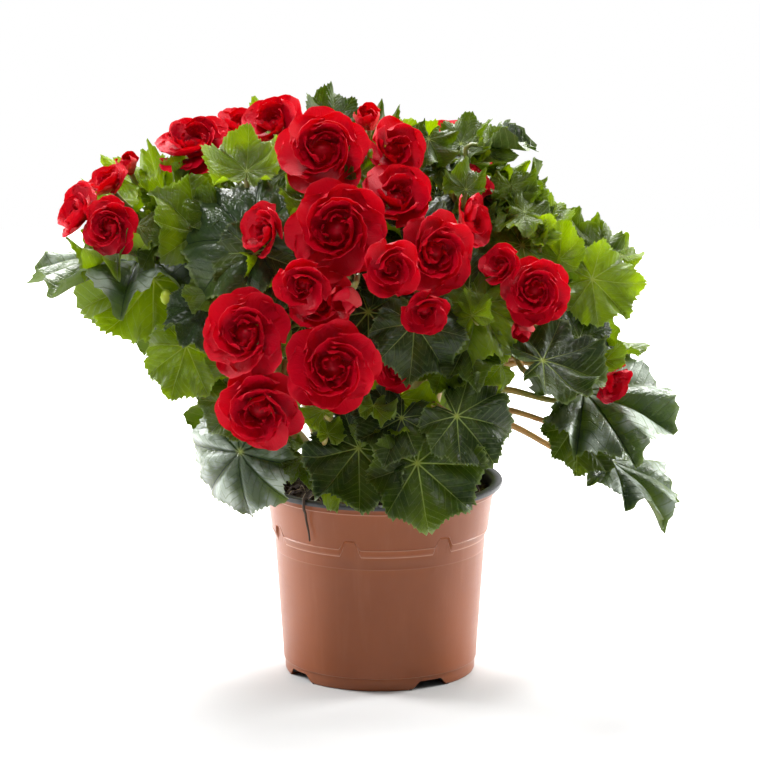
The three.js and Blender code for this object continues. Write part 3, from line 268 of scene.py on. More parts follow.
# Petal layers that the solids have: count, length and width as shares of the diameter, lean
# out of the bloom's plane, cupping, and where the petals leave the core.
PETAL_LAYERS = {
    'rose': [[5, 0.46, 0.54, 12, 0.3, -0.45], [5, 0.34, 0.4, 48, 0.26, 0.15]],
    'cup': [[4, 0.48, 0.6, 30, 0.34, -0.4]],
    'bud': [[3, 0.6, 0.6, 62, 0.4, -0.4]],
}
CORE_SHARE = {'rose': 0.17, 'cup': 0.14, 'bud': 0.26}
CORE_WAIST = 0.92
CORE_CROWN = 0.9
BACK_RADIUS = 2.1
ROOT_SPREAD = 0.36
BROAD_PETAL = [[0, -0.14], [0.5, -0.5], [0.94, -0.26], [0.97, 0.22], [0.52, 0.5], [0, 0.14]]
POINTED_PETAL = [[0, -0.14], [0.55, -0.5], [1, 0], [0.58, 0.5], [0, 0.14]]
PETAL_ROLL = 13
PETAL_SIDE_RISE = 1.6
PETAL_TIP_RISE = 0.7
PETAL_RUFFLE = 0.14
LEAN_SPREAD = 8
BLOOM_TURN = 47
FILLER_ROOM = 9                   # between the middle of a small leaf and a bloom's petals
# Small leaves nearer the middle than INSIDE are painted darker: painted shade.
INSIDE = 0.9                      # leaves nearer the middle than this are shaded

# The ways that stalks, leaves and petals keep clear of each other.
SLIPS = [0, -0.08, 0.05, -0.16]
BEND_TURNS = [0, 90, 180, 270, 45, 135, 225, 315]
STALK_WAYS = [(bend, turn, slip) for bend in [0, 4, 8, 12, 17]
              for turn in ([0] if bend == 0 else BEND_TURNS) for slip in SLIPS]
LEAF_WAYS = [(shrink, nod, push) for shrink in [1, 0.9, 0.8, 0.7]
             for nod in [0, 8, -8, 16, -16] for push in [0, 4, -4, 8, -8]]
PETAL_WAYS = [
    (1, 0), (1, 10), (0.9, 0), (1, -10), (0.9, 14), (0.8, 0), (0.8, 16), (0.9, 26), (0.8, -12),
    (0.7, 0), (0.7, 20), (0.7, 36), (0.6, 0), (0.6, 30),
]
ROOTS_FROM = 130
ROOTS_OVER = 20
ROOT_SHARE = 0.42
ROOT_RISE = 0.5
ROOT_RANGE = [0.45, 0.96]
STALK_REACH = 0.36
MATCH = 0.03                      # how near a solid's corner is to the same point here

# Seeds of the draws; those of rows of like things are the first row's.
BACK_LEAF_SEED, BACK_BLOOM_SEED, INNER_LEAF_SEED, FILLER_SEED = 21, 33, 45, 57
LEAF_SEED, TEETH_SEED, LEAF_STALK_SEED = 100, 7000, 9000
BLOOM_SEED, BLOOM_TINT_SEED, BLOOM_STALK_SEED, PETAL_SEED = 1000, 5000, 9500, 20000
TRUNK_SEED, POD_STALK_SEED, CRUMB_SEED, ROOT_SEED = 300, 9900, 77, 91

# ------------------------------------------------------------------------------------------
# Small helpers
# ------------------------------------------------------------------------------------------
MASK = 0xFFFFFFFF
MM = 0.001                        # metres
METRE = 1000                      # millimetres
UP = np.array([0.0, 0.0, 1.0])


def random_stream(seed):
    """Seeded numbers in 0..1 (mulberry32), the same as the solids draw."""
    state = seed & MASK

    def draw():
        nonlocal state
        state = (state + 0x6D2B79F5) & MASK
        t = state
        t = ((t ^ (t >> 15)) * (t | 1)) & MASK
        t ^= (t + (((t ^ (t >> 7)) * (t | 61)) & MASK)) & MASK
        return ((t ^ (t >> 14)) & MASK) / 4294967296
    return draw


def vec(values):
    return np.array(values, float)


def unit(vector):
    return vector / np.linalg.norm(vector)


def lerp(first, last, share):
    return first + (last - first) * share


def smooth(low, high, value):
    """0 below low, 1 above high and an even curve between."""
    t = np.clip((value - low) / (high - low), 0, 1)
    return t * t * (3 - 2 * t)


def rotated(points, axis, degrees):
    """A vector, or rows of points, turned about an axis."""
    a = math.radians(degrees)
    return (points * math.cos(a) + np.cross(axis, points) * math.sin(a)
            + np.multiply.outer(points @ axis, axis) * (1 - math.cos(a)))


def square_to(direction):
    """A direction square to another."""
    return unit(np.cross(direction, UP if abs(direction[2]) < 0.9 else vec([1, 0, 0])))


def circle(turns, first, second):
    """Directions round a circle, from the first toward the second."""
    return np.cos(turns)[:, None] * first + np.sin(turns)[:, None] * second


def face_direction(azimuth, elevation):
    a, e = math.radians(azimuth), math.radians(elevation)
    return vec([math.sin(a) * math.cos(e), -math.cos(a) * math.cos(e), math.sin(e)])


def blade_frame(azimuth, elevation, turn):
    """Normal, tip direction (downhill, turned about the normal) and side."""
    normal = face_direction(azimuth, elevation)
    down = unit(normal * normal[2] - UP)
    across = np.cross(normal, down)
    t = math.radians(turn)
    tip = down * math.cos(t) + across * math.sin(t)
    return normal, tip, np.cross(normal, tip)


def bezier(points, t):
    p0, p1, p2, p3 = points
    t = np.atleast_1d(t)[:, None]
    s = 1 - t
    return s**3 * p0 + 3 * s * s * t * p1 + 3 * s * t * t * p2 + t**3 * p3


def lattice(points, seed):
    """Smooth random values in -1..1 at points (n, 3), one cell of the lattice to a unit."""
    cell = np.floor(points).astype(np.int64)
    t = points - cell
    t = t * t * (3 - 2 * t)
    total = np.zeros(len(points))
    for corner in np.ndindex(2, 2, 2):
        at = cell + corner
        mixed = (at[:, 0] * 73856093) ^ (at[:, 1] * 19349663) ^ (at[:, 2] * 83492791)
        mixed = (mixed ^ (seed * 2654435761)) & MASK
        mixed = ((mixed ^ (mixed >> 15)) * 0x2C1B3C6D) & MASK
        mixed = ((mixed ^ (mixed >> 12)) * 0x297A2D39) & MASK
        value = ((mixed ^ (mixed >> 15)) & MASK) / 2147483648 - 1
        share = np.prod(np.where(corner, t, 1 - t), axis=1)
        total += value * share
    return total


class Shape:
    """Points, triangles and point attributes of one piece, gathered bit by bit."""

    def __init__(self, *attributes):
        self.points, self.triangles = [], []
        self.values = {name: [] for name in attributes}
        self.count = 0

    def add(self, points, triangles, **values):
        points = np.asarray(points, float)
        self.points.append(points)
        self.triangles.append(np.asarray(triangles, int) + self.count)
        for name, gathered in self.values.items():
            value = np.asarray(values.get(name, 0.0), float)
            gathered.append(np.broadcast_to(value, (len(points), 3)))
        self.count += len(points)


def add_object(name, data):
    thing = bpy.data.objects.new(name, data)
    bpy.context.scene.collection.objects.link(thing)
    return thing


def make_piece(name, shape, material, node):
    """A mesh object from a Shape, riding on the part in place of the node it stands for."""
    points = np.concatenate(shape.points) * MM
    triangles = np.concatenate(shape.triangles)
    mesh = bpy.data.meshes.new(name)
    mesh.vertices.add(len(points))
    mesh.vertices.foreach_set('co', points.ravel())
    mesh.loops.add(triangles.size)
    mesh.loops.foreach_set('vertex_index', triangles.ravel())
    mesh.polygons.add(len(triangles))
    mesh.polygons.foreach_set('loop_start', np.arange(0, triangles.size, 3))
    mesh.polygons.foreach_set('use_smooth', np.ones(len(triangles), bool))
    for attribute, gathered in shape.values.items():
        layer = mesh.attributes.new(attribute, 'FLOAT_VECTOR', 'POINT')
        layer.data.foreach_set('vector', np.concatenate(gathered).ravel())
    mesh.materials.append(material)
    mesh.update(calc_edges=True)
    piece = add_object(name, mesh)
    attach(piece, 'root')
    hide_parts(node)
    return piece


def grid_triangles(rows, columns, start=0, flip=False):
    """Triangles over a grid of points, row by row."""
    i, j = np.meshgrid(np.arange(rows - 1), np.arange(columns - 1), indexing='ij')
    a = (start + i * columns + j).ravel()
    b, c, d = a + columns, a + columns + 1, a + 1
    triangles = np.concatenate([np.stack([a, b, c], 1), np.stack([a, c, d], 1)])
    return triangles[:, ::-1] if flip else triangles


def tube_grid(path, radii, sides):
    """Points of a tube round a path, as (steps, sides + 1, 3), its seam doubled."""
    path = np.asarray(path, float)
    along = np.gradient(path, axis=0)
    along /= np.linalg.norm(along, axis=1)[:, None]
    normal = square_to(along[0])
    rings = []
    turns = np.linspace(0, 2 * math.pi, sides + 1)
    for point, direction, radius in zip(path, along, radii):
        normal = unit(normal - direction * np.dot(normal, direction))
        other = np.cross(direction, normal)
        rings.append(point + radius * circle(turns, normal, other))
    return np.array(rings)


# ------------------------------------------------------------------------------------------
# Layout, as in the solids
# ------------------------------------------------------------------------------------------
def crown_point(azimuth, height, share):
    """A place on the egg-shaped crown, or a share of the way out to it."""
    a, e = math.radians(azimuth), math.radians(height)
    return [
        CROWN_MIDDLE[0] + share * CROWN_REACH[0] * math.sin(a) * math.cos(e),
        CROWN_MIDDLE[1] - share * CROWN_REACH[1] * math.cos(a) * math.cos(e),
        CROWN_MIDDLE[2] + share * CROWN_REACH[2] * math.sin(e),
    ]


def stem_at(azimuth):
    """The stem that bears what grows in this sector of the crown."""
    return next(name for end, name in STEM_SECTORS if azimuth < end)


def ring_rows(rings, seed, make_row):
    """Rows laid along rings of the crown, each a little out of place."""
    random = random_stream(seed)
    rows = []
    for height, count, first, last in rings:
        for k in range(count):
            azimuth = lerp(first, last, k / max(count - 1, 1)) + (random() - 0.5) * RING_SPREAD
            at = height + (random() - 0.5) * RING_SPREAD
            rows.append(make_row(azimuth, at, random))
    return rows


def leaf_rows():
    def back(azimuth, height, random):
        return [stem_at(azimuth), crown_point(azimuth, height, 1), azimuth,
                28 + max(height, -20) * 0.5, (random() - 0.5) * 60,
                BACK_LEAF_LENGTH * (0.8 + 0.4 * random()), -0.12]

    def inner(azimuth, height, random):
        return [stem_at(azimuth), crown_point(azimuth, height, INNER_SHARE), azimuth,
                50 + height * 0.5, (random() - 0.5) * 60,
                BACK_LEAF_LENGTH * (0.8 + 0.3 * random()), -0.1]
    return (FRONT_LEAVES + ring_rows(BACK_LEAF_RINGS, BACK_LEAF_SEED, back)
            + ring_rows(INNER_LEAF_RINGS, INNER_LEAF_SEED, inner))


def filler_rows():
    """Rows of the smallest leaves: outward and upward, each turned its own way."""
    random = random_stream(FILLER_SEED)
    blooms = [(vec(row[1]), row[4]) for row in bloom_rows()]
    rows = []
    for *ranges, count, lengths in FILLER_BANDS:
        for _ in range(count):
            azimuth, height, share = (lerp(low, high, random()) for low, high in ranges)
            place = crown_point(azimuth, height, share)
            inside = share < INSIDE
            # Small leaves inside the crown take the dark look, whose darker colour is painted shade;
            # the others take the young look, painted lighter as lit from above and behind.
            row = [stem_at(azimuth % 360), place, azimuth * 0.6 + (random() - 0.5) * 90,
                   15 + 60 * random(), 360 * random(), lerp(*lengths, random()),
                   0.7 * (random() - 0.5), 'dark' if inside else 'young']
            if inside or all(apart(place, middle) > 0.3 * size + FILLER_ROOM
                             for middle, size in blooms):
                rows.append(row)
    return rows


def apart(place, middle):
    """How far two places look apart from the front."""
    return math.hypot(place[0] - middle[0], place[2] - middle[2])


def bloom_rows():
    def back(azimuth, height, random):
        size = BACK_BLOOM_DIAMETER * (0.75 + 0.4 * random())
        return [stem_at(azimuth), crown_point(azimuth, height, BLOOM_SHARE), azimuth,
                10 + height * 0.7, size, 'rose' if size > BACK_ROSE_FROM else 'cup']
    return FRONT_BLOOMS + ring_rows(BACK_BLOOM_RINGS, BACK_BLOOM_SEED, back)


class Stem:
    """A leafy stem's curve, the corners of its solid, and what grows on it."""

    def __init__(self, name, foot, tip):
        self.name, self.node, self.top = name, 'stem_' + name, tip[2]
        start, end = vec([*foot, SOIL_TOP - STEM_FOOT_DEPTH]), vec(tip)
        rise = end[2] - start[2]
        lean = vec([(foot[0] - tip[0]) * 0.35, (foot[1] - tip[1]) * 0.35, -rise * 0.2])
        self.controls = [start, start + vec([0, 0, rise * 0.45]), end + lean, end]
        self.corners = corners_of(self.node)
        self.stalks, self.leaves, self.pods = [], [], []

    def curve(self, t):
        return bezier(self.controls, t)[0]


def corners_of(node):
    """Corners of a solid, in millimetres."""
    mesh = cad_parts[node].data
    corners = np.empty(len(mesh.vertices) * 3, np.float32)
    mesh.vertices.foreach_get('co', corners)
    return corners.reshape(-1, 3).astype(float) * METRE


def off_by(corners, point):
    """How far the nearest corner is from a point."""
    return np.sqrt(((corners - point) ** 2).sum(1).min())


def stalk_controls(stem, end, arrive, way):
    """Control points of a stalk from its stem to an end, bent in one of the ways."""
    bend, turn, slip = way
    height = (end[2] - ROOTS_FROM) / (stem.top - ROOTS_FROM + ROOTS_OVER)
    share = float(np.clip(ROOT_SHARE + ROOT_RISE * height, *ROOT_RANGE))
    root = min(share + slip, ROOT_RANGE[1] + 0.01)
    start = stem.curve(root)
    leave = unit(unit(stem.curve(root + 0.02) - stem.curve(root - 0.02)) + unit(end - start))
    reach = np.linalg.norm(end - start) * STALK_REACH
    along = unit(end - start)
    across = rotated(square_to(along), along, turn) * bend
    return [start, start + leave * reach + across, end - arrive * reach + across * 0.7, end]


def stalk_like_solid(stem, end, arrive, end_radius):
    """The stalk that the solid has there: the way whose rings have corners in the solid."""
    best, most = None, -1
    for way in STALK_WAYS:
        controls = stalk_controls(stem, end, arrive, way)
        found = 0
        for t in (1 / 3, 2 / 3):
            away = np.sqrt(((stem.corners - bezier(controls, t)[0]) ** 2).sum(1))
            radius = lerp(STALK_RADIUS, end_radius, t)
            found += min(3, int((abs(away - radius) < MATCH).sum()))
        if found > most:
            best, most = controls, found
        if found == 6:
            break
    return best


# ------------------------------------------------------------------------------------------
# Leaves
# ------------------------------------------------------------------------------------------
# Outline of the two halves: radii from the navel at angles from the tip, in lengths.
LEAF_OUTLINE = [
    [0, 1], [20, 0.86], [40, 0.93], [60, 0.80], [80, 0.86], [103, 0.72], [126, 0.7],
    [146, 0.6], [163, 0.44], [174, 0.24], [180, 0.1],
]
SMALL_OUTLINE = [
    [0, 1], [25, 0.84], [48, 0.9], [85, 0.78], [120, 0.7], [150, 0.56], [168, 0.32], [180, 0.1],
]
BLADE = 0.5                       # thickness of the fine blade
BLADE_EDGE = 0.4                  # share of it left at the margin
VEIN_STEP = 2 * math.pi / LEAF_VEINS
TOOTH = [0.0, 0.35, 1.0]          # a tooth leans toward the lobe's tip
TOOTH_HEIGHT = 0.032
PLEAT = 0.028                     # how far the blade bulges between its main veins
LOBELET_HEIGHT = 0.035            # of the larger points that carry three teeth each
# Leaves that stand out: the glossy, pleated ones carry a painted grey-white sheen on their ridges;
# blue ones are dull, with a painted blue-grey sheen and sunk veins darkened by painted shade; lime
# ones are painted lighter, as lit from behind, and dark ones darker, as painted shade.
LOOKS = {
    'silver': {'grey': 1.0, 'tint': 0.35, 'curl': 0.07, 'pleat': 0.06, 'roll': -0.05, 'fold': 0.0},
    'blue': {'grey': 0.84, 'tint': 0.3, 'curl': 0.1, 'pleat': 0.045},
    'lime': {'grey': 0.1, 'tint': 0.85},
    'dark': {'grey': 0.35, 'tint': 0.12},
    'deep': {'grey': 0.2, 'tint': 0.34},
    'dull': {'grey': 0.5, 'tint': 0.42, 'curl': 0.05, 'pleat': 0.01, 'fold': 0.05},
}
# Leaves with no look that stand higher than this are young: they curl more and are painted brighter, a
# painted light as from above and behind.
YOUNG_LIT_FROM = 222                  # height over which leaves are young and bright
YOUNG_CURL = 1.15
# At most this much painted grey sheen is drawn at random for a leaf.
GREYNESS = 0.85
CREASE = 0.17                     # half width of a vein's crease, in sectors
FRILL, FRILL_WAVES = 0.028, 25    # small waves of the margin
FULL_STALK = 34                   # length of a leaf whose stalk is full size
CRUMPLED = 1.6                    # how much more the smallest of them curl
LEAF_RINGS = [0.04, 0.12, 0.22, 0.34, 0.46, 0.58, 0.69, 0.79, 0.88, 0.945]
SMALL_LEAF_RINGS = [0.06, 0.2, 0.36, 0.54, 0.72, 0.88]


def outline_radius(outline, angles, skew):
    """Radius at each angle: lobes with rounded notches between them."""
    at, radii = np.array(outline, float).T
    turned = np.degrees(np.abs(angles))
    index = np.clip(np.searchsorted(at, turned, side='right') - 1, 0, len(at) - 2)
    t = (turned - at[index]) / (at[index + 1] - at[index])
    eased = 0.6 * (0.5 - 0.5 * np.cos(math.pi * t)) + 0.4 * t
    return lerp(radii[index], radii[index + 1], eased) * (1 + skew * np.sin(angles))


def leaf_height(leaf, r, angle, share):
    """Height over the leaf's plane in lengths: the solid's form, with creased veins."""
    sector = (angle / VEIN_STEP + 0.5) % 1 - 0.5
    crease = 1 - 2 * np.exp(-(sector / CREASE) ** 2)
    wave = LEAF_WAVE * np.sin(2 * angle + leaf['phase'])
    height = r * r * (leaf['dish'] + wave + LEAF_PUCKER * crease)
    folds = leaf['folds']
    curl = leaf['curl'] * np.sin(folds * angle + leaf['spin'])
    curl = curl + 0.3 * leaf['curl'] * np.sin((2 * folds + 3) * angle + 2 * leaf['spin'])
    frill = FRILL * np.sin(FRILL_WAVES * angle + 3 * leaf['spin']) * share**3
    roll = leaf['roll'] * smooth(0.5, 1, share) ** 2
    fold = leaf['fold'] * (np.abs(np.sin(angle)) - 0.5)
    height = height + r * (share**2.4 * curl + frill + roll + fold * share)
    return height + leaf['pleat'] * crease * smooth(0.05, 0.6, r)


def blade_points(leaf, angles, shares, toothed):
    normal, tip, side = leaf['frame']
    outline = SMALL_OUTLINE if leaf['length'] < SMALL_LEAF else LEAF_OUTLINE
    radius = outline_radius(outline, angles, leaf['skew'])
    if toothed is not None:
        radius = radius + toothed * smooth(0.12, 0.4, radius)
    r = radius * shares
    out = r * leaf['length']
    height = leaf_height(leaf, r, angles, shares) * leaf['length']
    points = (leaf['navel'] + (out * np.cos(angles))[:, None] * tip
              + (out * np.sin(angles))[:, None] * side + height[:, None] * normal)
    marks = np.stack([angles / math.pi, shares, r], 1)
    return points, marks


def add_blade(shape, leaf):
    """A thin toothed blade: a fan of rings whose margin has three points to a column."""
    small = leaf['plain'] or leaf['length'] < SMALL_LEAF
    columns = 6 * LEAF_VEINS if small else 8 * LEAF_VEINS
    rings = SMALL_LEAF_RINGS if small else LEAF_RINGS
    angles = np.linspace(-math.pi, math.pi, columns + 1)
    fine = np.linspace(-math.pi, math.pi, 3 * columns + 1)
    random = random_stream(leaf['seed'])
    teeth = np.array([random() for _ in range(columns + 1)])
    step = np.arange(3 * columns + 1)
    rising = np.where(fine < 0, step % 3, (-step) % 3)
    toothed = TOOTH_HEIGHT * (0.5 + teeth[step // 3]) * np.array(TOOTH)[rising]
    lobelet = np.where(fine < 0, step % 9, (-step) % 9) / 9
    toothed = toothed + LOBELET_HEIGHT * (lobelet**1.4 - 0.4)
    grid_angles = np.tile(angles, len(rings))
    grid_shares = np.repeat(rings, columns + 1)
    inner, inner_marks = blade_points(leaf, grid_angles, grid_shares, None)
    margin, margin_marks = blade_points(leaf, fine, np.ones(len(fine)), toothed)
    points = np.concatenate([[leaf['navel']], inner, margin])
    marks = np.concatenate([[[0, 0, 0]], inner_marks, margin_marks])
    k = np.arange(columns)
    fan = np.stack([np.zeros(columns, int), 1 + k, 2 + k], 1)
    net = grid_triangles(len(rings), columns + 1, 1)
    a = 1 + (len(rings) - 1) * (columns + 1) + k
    m = 1 + len(rings) * (columns + 1) + 3 * k
    band = np.concatenate([
        np.stack([a, m, m + 1], 1), np.stack([a, m + 1, m + 2], 1),
        np.stack([a, m + 2, a + 1], 1), np.stack([a + 1, m + 2, m + 3], 1),
    ])
    top = np.concatenate([fan, net, band])
    normal = leaf['frame'][0]
    thick = BLADE * np.where(marks[:, 1] > 0.99, BLADE_EDGE, 1)[:, None] * normal
    for lift, side, triangles in ((0, 0, top), (1, 1, top[:, ::-1])):
        tone = np.array([leaf['tint'], leaf['grey'], side])
        shape.add(points - lift * thick, triangles, leaf=marks, tone=tone)
    rim = np.concatenate([margin, margin - BLADE_EDGE * BLADE * normal])
    shape.add(rim, grid_triangles(2, len(fine)), leaf=np.tile(margin_marks, (2, 1)),
              tone=np.array([leaf['tint'], leaf['grey'], 0]))


def grow_leaf(stems, row, index, fine_only):
    """Finds how the solid placed this leaf; a leaf that the solids leave out gets nothing."""
    stem_name, place, azimuth, elevation, turn, length, dish = row[:7]
    stem = stems[stem_name]
    random = random_stream(LEAF_SEED + index)
    phase = random() * 2 * math.pi
    skew = -LEAF_SKEW if random() < 0.5 else LEAF_SKEW
    leaf = {
        'phase': phase, 'skew': skew, 'dish': dish, 'seed': TEETH_SEED + index, 'plain': fine_only,
        'curl': 0.13 + 0.17 * random(), 'folds': 4 + int(random() * 4),
        'spin': random() * 2 * math.pi, 'tint': random(), 'grey': random(),
        'roll': 0.34 * (random() - 0.45), 'fold': 0.22 * random() - 0.04, 'pleat': PLEAT,
    }
    leaf['grey'] *= GREYNESS
    # High leaves with no look are young: more curl, less painted sheen, and a tint painted lighter as
    # lit from above.
    look = row[7] if len(row) > 7 else 'young' if place[2] > YOUNG_LIT_FROM else None
    if look == 'young':
        leaf.update(grey=0.5 * leaf['grey'], tint=0.3 + 0.75 * leaf['tint'],
                    curl=leaf['curl'] * (CRUMPLED if fine_only else YOUNG_CURL))
    elif look:
        leaf.update(LOOKS[look])
    for shrink, nod, push in LEAF_WAYS:
        blade = blade_frame(azimuth, elevation + nod, turn)
        navel = vec(place) + blade[0] * push
        size = length * shrink
        height = (dish + LEAF_WAVE * math.sin(phase) - LEAF_PUCKER) * size
        tip = navel + blade[1] * size + blade[0] * height
        if fine_only or off_by(stem.corners, navel) + off_by(stem.corners, tip) < MATCH:
            leaf.update(frame=blade, navel=navel, length=size)
            break
    else:
        return
    normal, tip, _ = leaf['frame']
    end = leaf['navel'] - normal * BLADE_THICKNESS
    arrive = unit(normal * 0.75 + tip * 0.65)
    if fine_only:
        controls = stalk_controls(stem, end, arrive, STALK_WAYS[0])
    else:
        controls = stalk_like_solid(stem, end, arrive, STALK_TIP_RADIUS)
    stem.leaves.append(leaf)
    thick = min(1, size / FULL_STALK)
    stem.stalks.append({'controls': controls, 'ends': (1.35 + 0.65 * thick, 1.0 + 0.3 * thick),
                        'seed': LEAF_STALK_SEED + index})


# ------------------------------------------------------------------------------------------
# Blooms
# ------------------------------------------------------------------------------------------
PETAL = 0.42                      # thickness of a fine petal, which thins to its margin
# Whorls: the solid's layer or None, count, length, width, lean, cupping, where they leave the
# core, turn in steps, incurving, ruffle.
WHORLS = {
    'rose': [
        [0, 5, 0.46, 0.54, 12, 0.3, -0.45, 0, -0.05, 0.014],
        [None, 5, 0.44, 0.58, 24, 0.34, -0.2, 0.5, -0.02, 0.016],
        [1, 5, 0.34, 0.4, 48, 0.36, 0.15, 0, 0.05, 0.016],
        [None, 4, 0.32, 0.46, 50, 0.36, 0.1, 0.35, 0.08, 0.02],
        [None, 3, 0.25, 0.38, 62, 0.5, 0.3, 0.1, 0.14, 0.026],
        [None, 4, 0.15, 0.16, 72, 0.8, 0.6, 0.5, 0.1, 0.10],
    ],
    'cup': [
        [0, 4, 0.48, 0.6, 30, 0.34, -0.4, 0, -0.02, 0.014],
        [None, 4, 0.43, 0.6, 40, 0.4, -0.1, 0.5, 0.04, 0.018],
        [None, 3, 0.31, 0.46, 56, 0.5, 0.15, 0.2, 0.12, 0.024],
        [None, 4, 0.17, 0.2, 72, 0.8, 0.45, 0.6, 0.12, 0.09],
    ],
    'bud': [
        [0, 3, 0.6, 0.6, 62, 0.4, -0.4, 0, 0.14, 0.01],
        [None, 3, 0.56, 0.6, 70, 0.6, -0.2, 0.5, 0.22, 0.015],
    ],
}
WIDENED = {0: 1.16, 1: 1.4}       # fine petals against the solid's, by its layer
FINE_PETAL = (11, 13)             # rows and columns of a petal
SMALL_PETAL = (8, 10)
CROWDED = 0.92                    # how closely its columns stand at its sides
SMALL_PETAL_LENGTH = 0.25
SMALL_BLOOM = 26
BROADEST = 0.66                   # where along a petal it is broadest


def petal_like(bloom, layer, k, way):
    """Frame and size of a petal of the solid, laid one of the ways."""
    shrink, extra_lean = way
    count, long, broad, lean, cup, level = PETAL_LAYERS[bloom['form']][layer]
    random = random_stream(bloom['seed'] + 17 * layer + k)
    around = math.radians((360 / count) * (k + layer * 0.5) + bloom['spin'])
    tilt = lean + extra_lean + (random() - 0.5) * LEAN_SPREAD
    lifts = [(random() - 0.5) * PETAL_RUFFLE for _ in range(6)]
    petal = petal_frame(bloom, around, tilt, level, (math.pi / count) * ROOT_SPREAD)
    petal.update(lifts=lifts, cup=cup, broad=layer == 0,
                 length=long * bloom['diameter'] * shrink,
                 width=broad * bloom['diameter'] * shrink)
    return petal


def petal_frame(bloom, around, tilt, level, half):
    """Where a petal leaves the core, and the way it faces."""
    face, across, up = bloom['frame']
    t = math.radians(tilt)
    out = across * math.cos(around) + up * math.sin(around)
    tip = out * math.cos(t) + face * math.sin(t)
    flat = face * math.cos(t) - out * math.sin(t)
    normal = rotated(flat, tip, PETAL_ROLL)
    waist = bloom['core'] * CORE_WAIST * math.sqrt(max(0.08, 1 - max(level - 0.15, 0) ** 2))
    root = bloom['middle'] + face * bloom['core'] * level + out * waist * math.cos(half)
    return {'root': root, 'normal': normal, 'tip': tip, 'side': np.cross(normal, tip),
            'root_half': waist * math.sin(half)}


def solid_petal_ends(petal):
    """The two far corners, or the tip, of the solid's petal."""
    outline = BROAD_PETAL if petal['broad'] else POINTED_PETAL
    ends = []
    for i in ((2, 3) if petal['broad'] else (2,)):
        u, w = outline[i]
        rise = petal['cup'] * (PETAL_SIDE_RISE * w * w + PETAL_TIP_RISE * (u - 0.5) ** 2)
        rise += petal['lifts'][i]
        ends.append(petal['root'] + petal['tip'] * u * petal['length']
                    + petal['side'] * w * petal['width'] + petal['normal'] * rise * petal['length'])
    return ends


def add_petal(shape, petal, seed, depth):
    """A cupped, ruffled petal with a rounded end."""
    rows, columns = SMALL_PETAL if petal['small'] else FINE_PETAL
    random = random_stream(seed)
    turns = [random() * 2 * math.pi for _ in range(5)]
    skew = (random() - 0.5) * 0.24
    s = np.linspace(0, 1, rows + 1) ** 0.85
    w = np.sin(np.linspace(-1, 1, columns + 1) * math.pi / 2 * CROWDED)
    w = w / math.sin(math.pi / 2 * CROWDED)
    s, w = (a.ravel() for a in np.meshgrid(s, w, indexing='ij'))
    length, width = petal['length'], petal['width']
    swell = np.sin(math.pi / 2 * np.minimum(s / BROADEST, 1)) ** 0.85
    half = lerp(petal['root_half'], width / 2, swell) * (1 - 0.2 * smooth(BROADEST, 1, s))
    notch = 0.025 * np.exp(-(w / 0.22) ** 2) * smooth(0.7, 1, s)
    u = length * s * (1 - 0.34 * np.abs(w) ** 2.6 * smooth(0.3, 1, s) - notch + skew * w * s * 0.3)
    edge = np.maximum(smooth(0.55, 1, s), smooth(0.7, 1, np.abs(w)) * smooth(0.2, 0.7, s))
    rise = petal['cup'] * (0.4 * w * w * np.minimum(1, 2 * s)
                           + PETAL_TIP_RISE * (s - 0.5) ** 2 * smooth(0, 0.3, s))
    rise = rise + petal['incurve'] * s * s
    ripple = (np.sin(3.1 * math.pi * w + turns[0]) + 0.7 * np.sin(5.3 * math.pi * w + turns[1])
              + 0.45 * np.sin(8.7 * math.pi * w + turns[2]) * edge)
    rise = rise + petal['ruffle'] * edge * ripple * (0.4 + 0.9 * s)
    rise = rise + 0.022 * np.sin(4.2 * s + turns[3]) * np.sin(2 * w + turns[4])
    points = (petal['root'] + u[:, None] * petal['tip'] + (w * half)[:, None] * petal['side']
              + (rise * length)[:, None] * petal['normal'])
    marks = np.stack([w, s, edge], 1)
    net = grid_triangles(rows + 1, columns + 1)
    under = points - PETAL * (1 - 0.7 * edge)[:, None] * petal['normal']
    for surface, side, triangles in ((points, 0, net), (under, 1, net[:, ::-1])):
        tone = np.array([petal['tint'], depth, side])
        shape.add(surface, triangles, petal=marks, tone=tone)
    index = np.arange(len(points)).reshape(rows + 1, columns + 1)
    rim = np.concatenate([index[:, 0], index[-1, 1:], index[-2::-1, -1]])
    both = np.concatenate([points[rim], under[rim]])
    shape.add(both, grid_triangles(2, len(rim)), petal=np.tile(marks[rim], (2, 1)),
              tone=np.array([petal['tint'], depth, 0]))


def add_core(shape, bloom):
    """The swollen green-and-red base that bears the petals."""
    face, across, up = bloom['frame']
    core = bloom['core']
    waist = core * CORE_WAIST
    profile = [[0.5, -1], [1.5, -1], [BACK_RADIUS, -0.95], [0.72 * waist, -0.7], [0.95 * waist, -0.4],
               [waist, 0], [0.92 * waist, 0.3], [0.6 * waist, 0.7], [0.25 * waist, CORE_CROWN],
               [0.02, CORE_CROWN + 0.05]]
    turns = np.linspace(0, 2 * math.pi, 17)
    rings = [bloom['middle'] + face * core * z + r * circle(turns, across, up)
             for r, z in profile]
    marks = [[0, 0.12 * i / len(profile), 0] for i in range(len(profile))]
    shape.add(np.concatenate(rings), grid_triangles(len(profile), 17, flip=True),
              petal=np.repeat(marks, 17, 0), tone=np.array([bloom['tint'], 1, 1]))


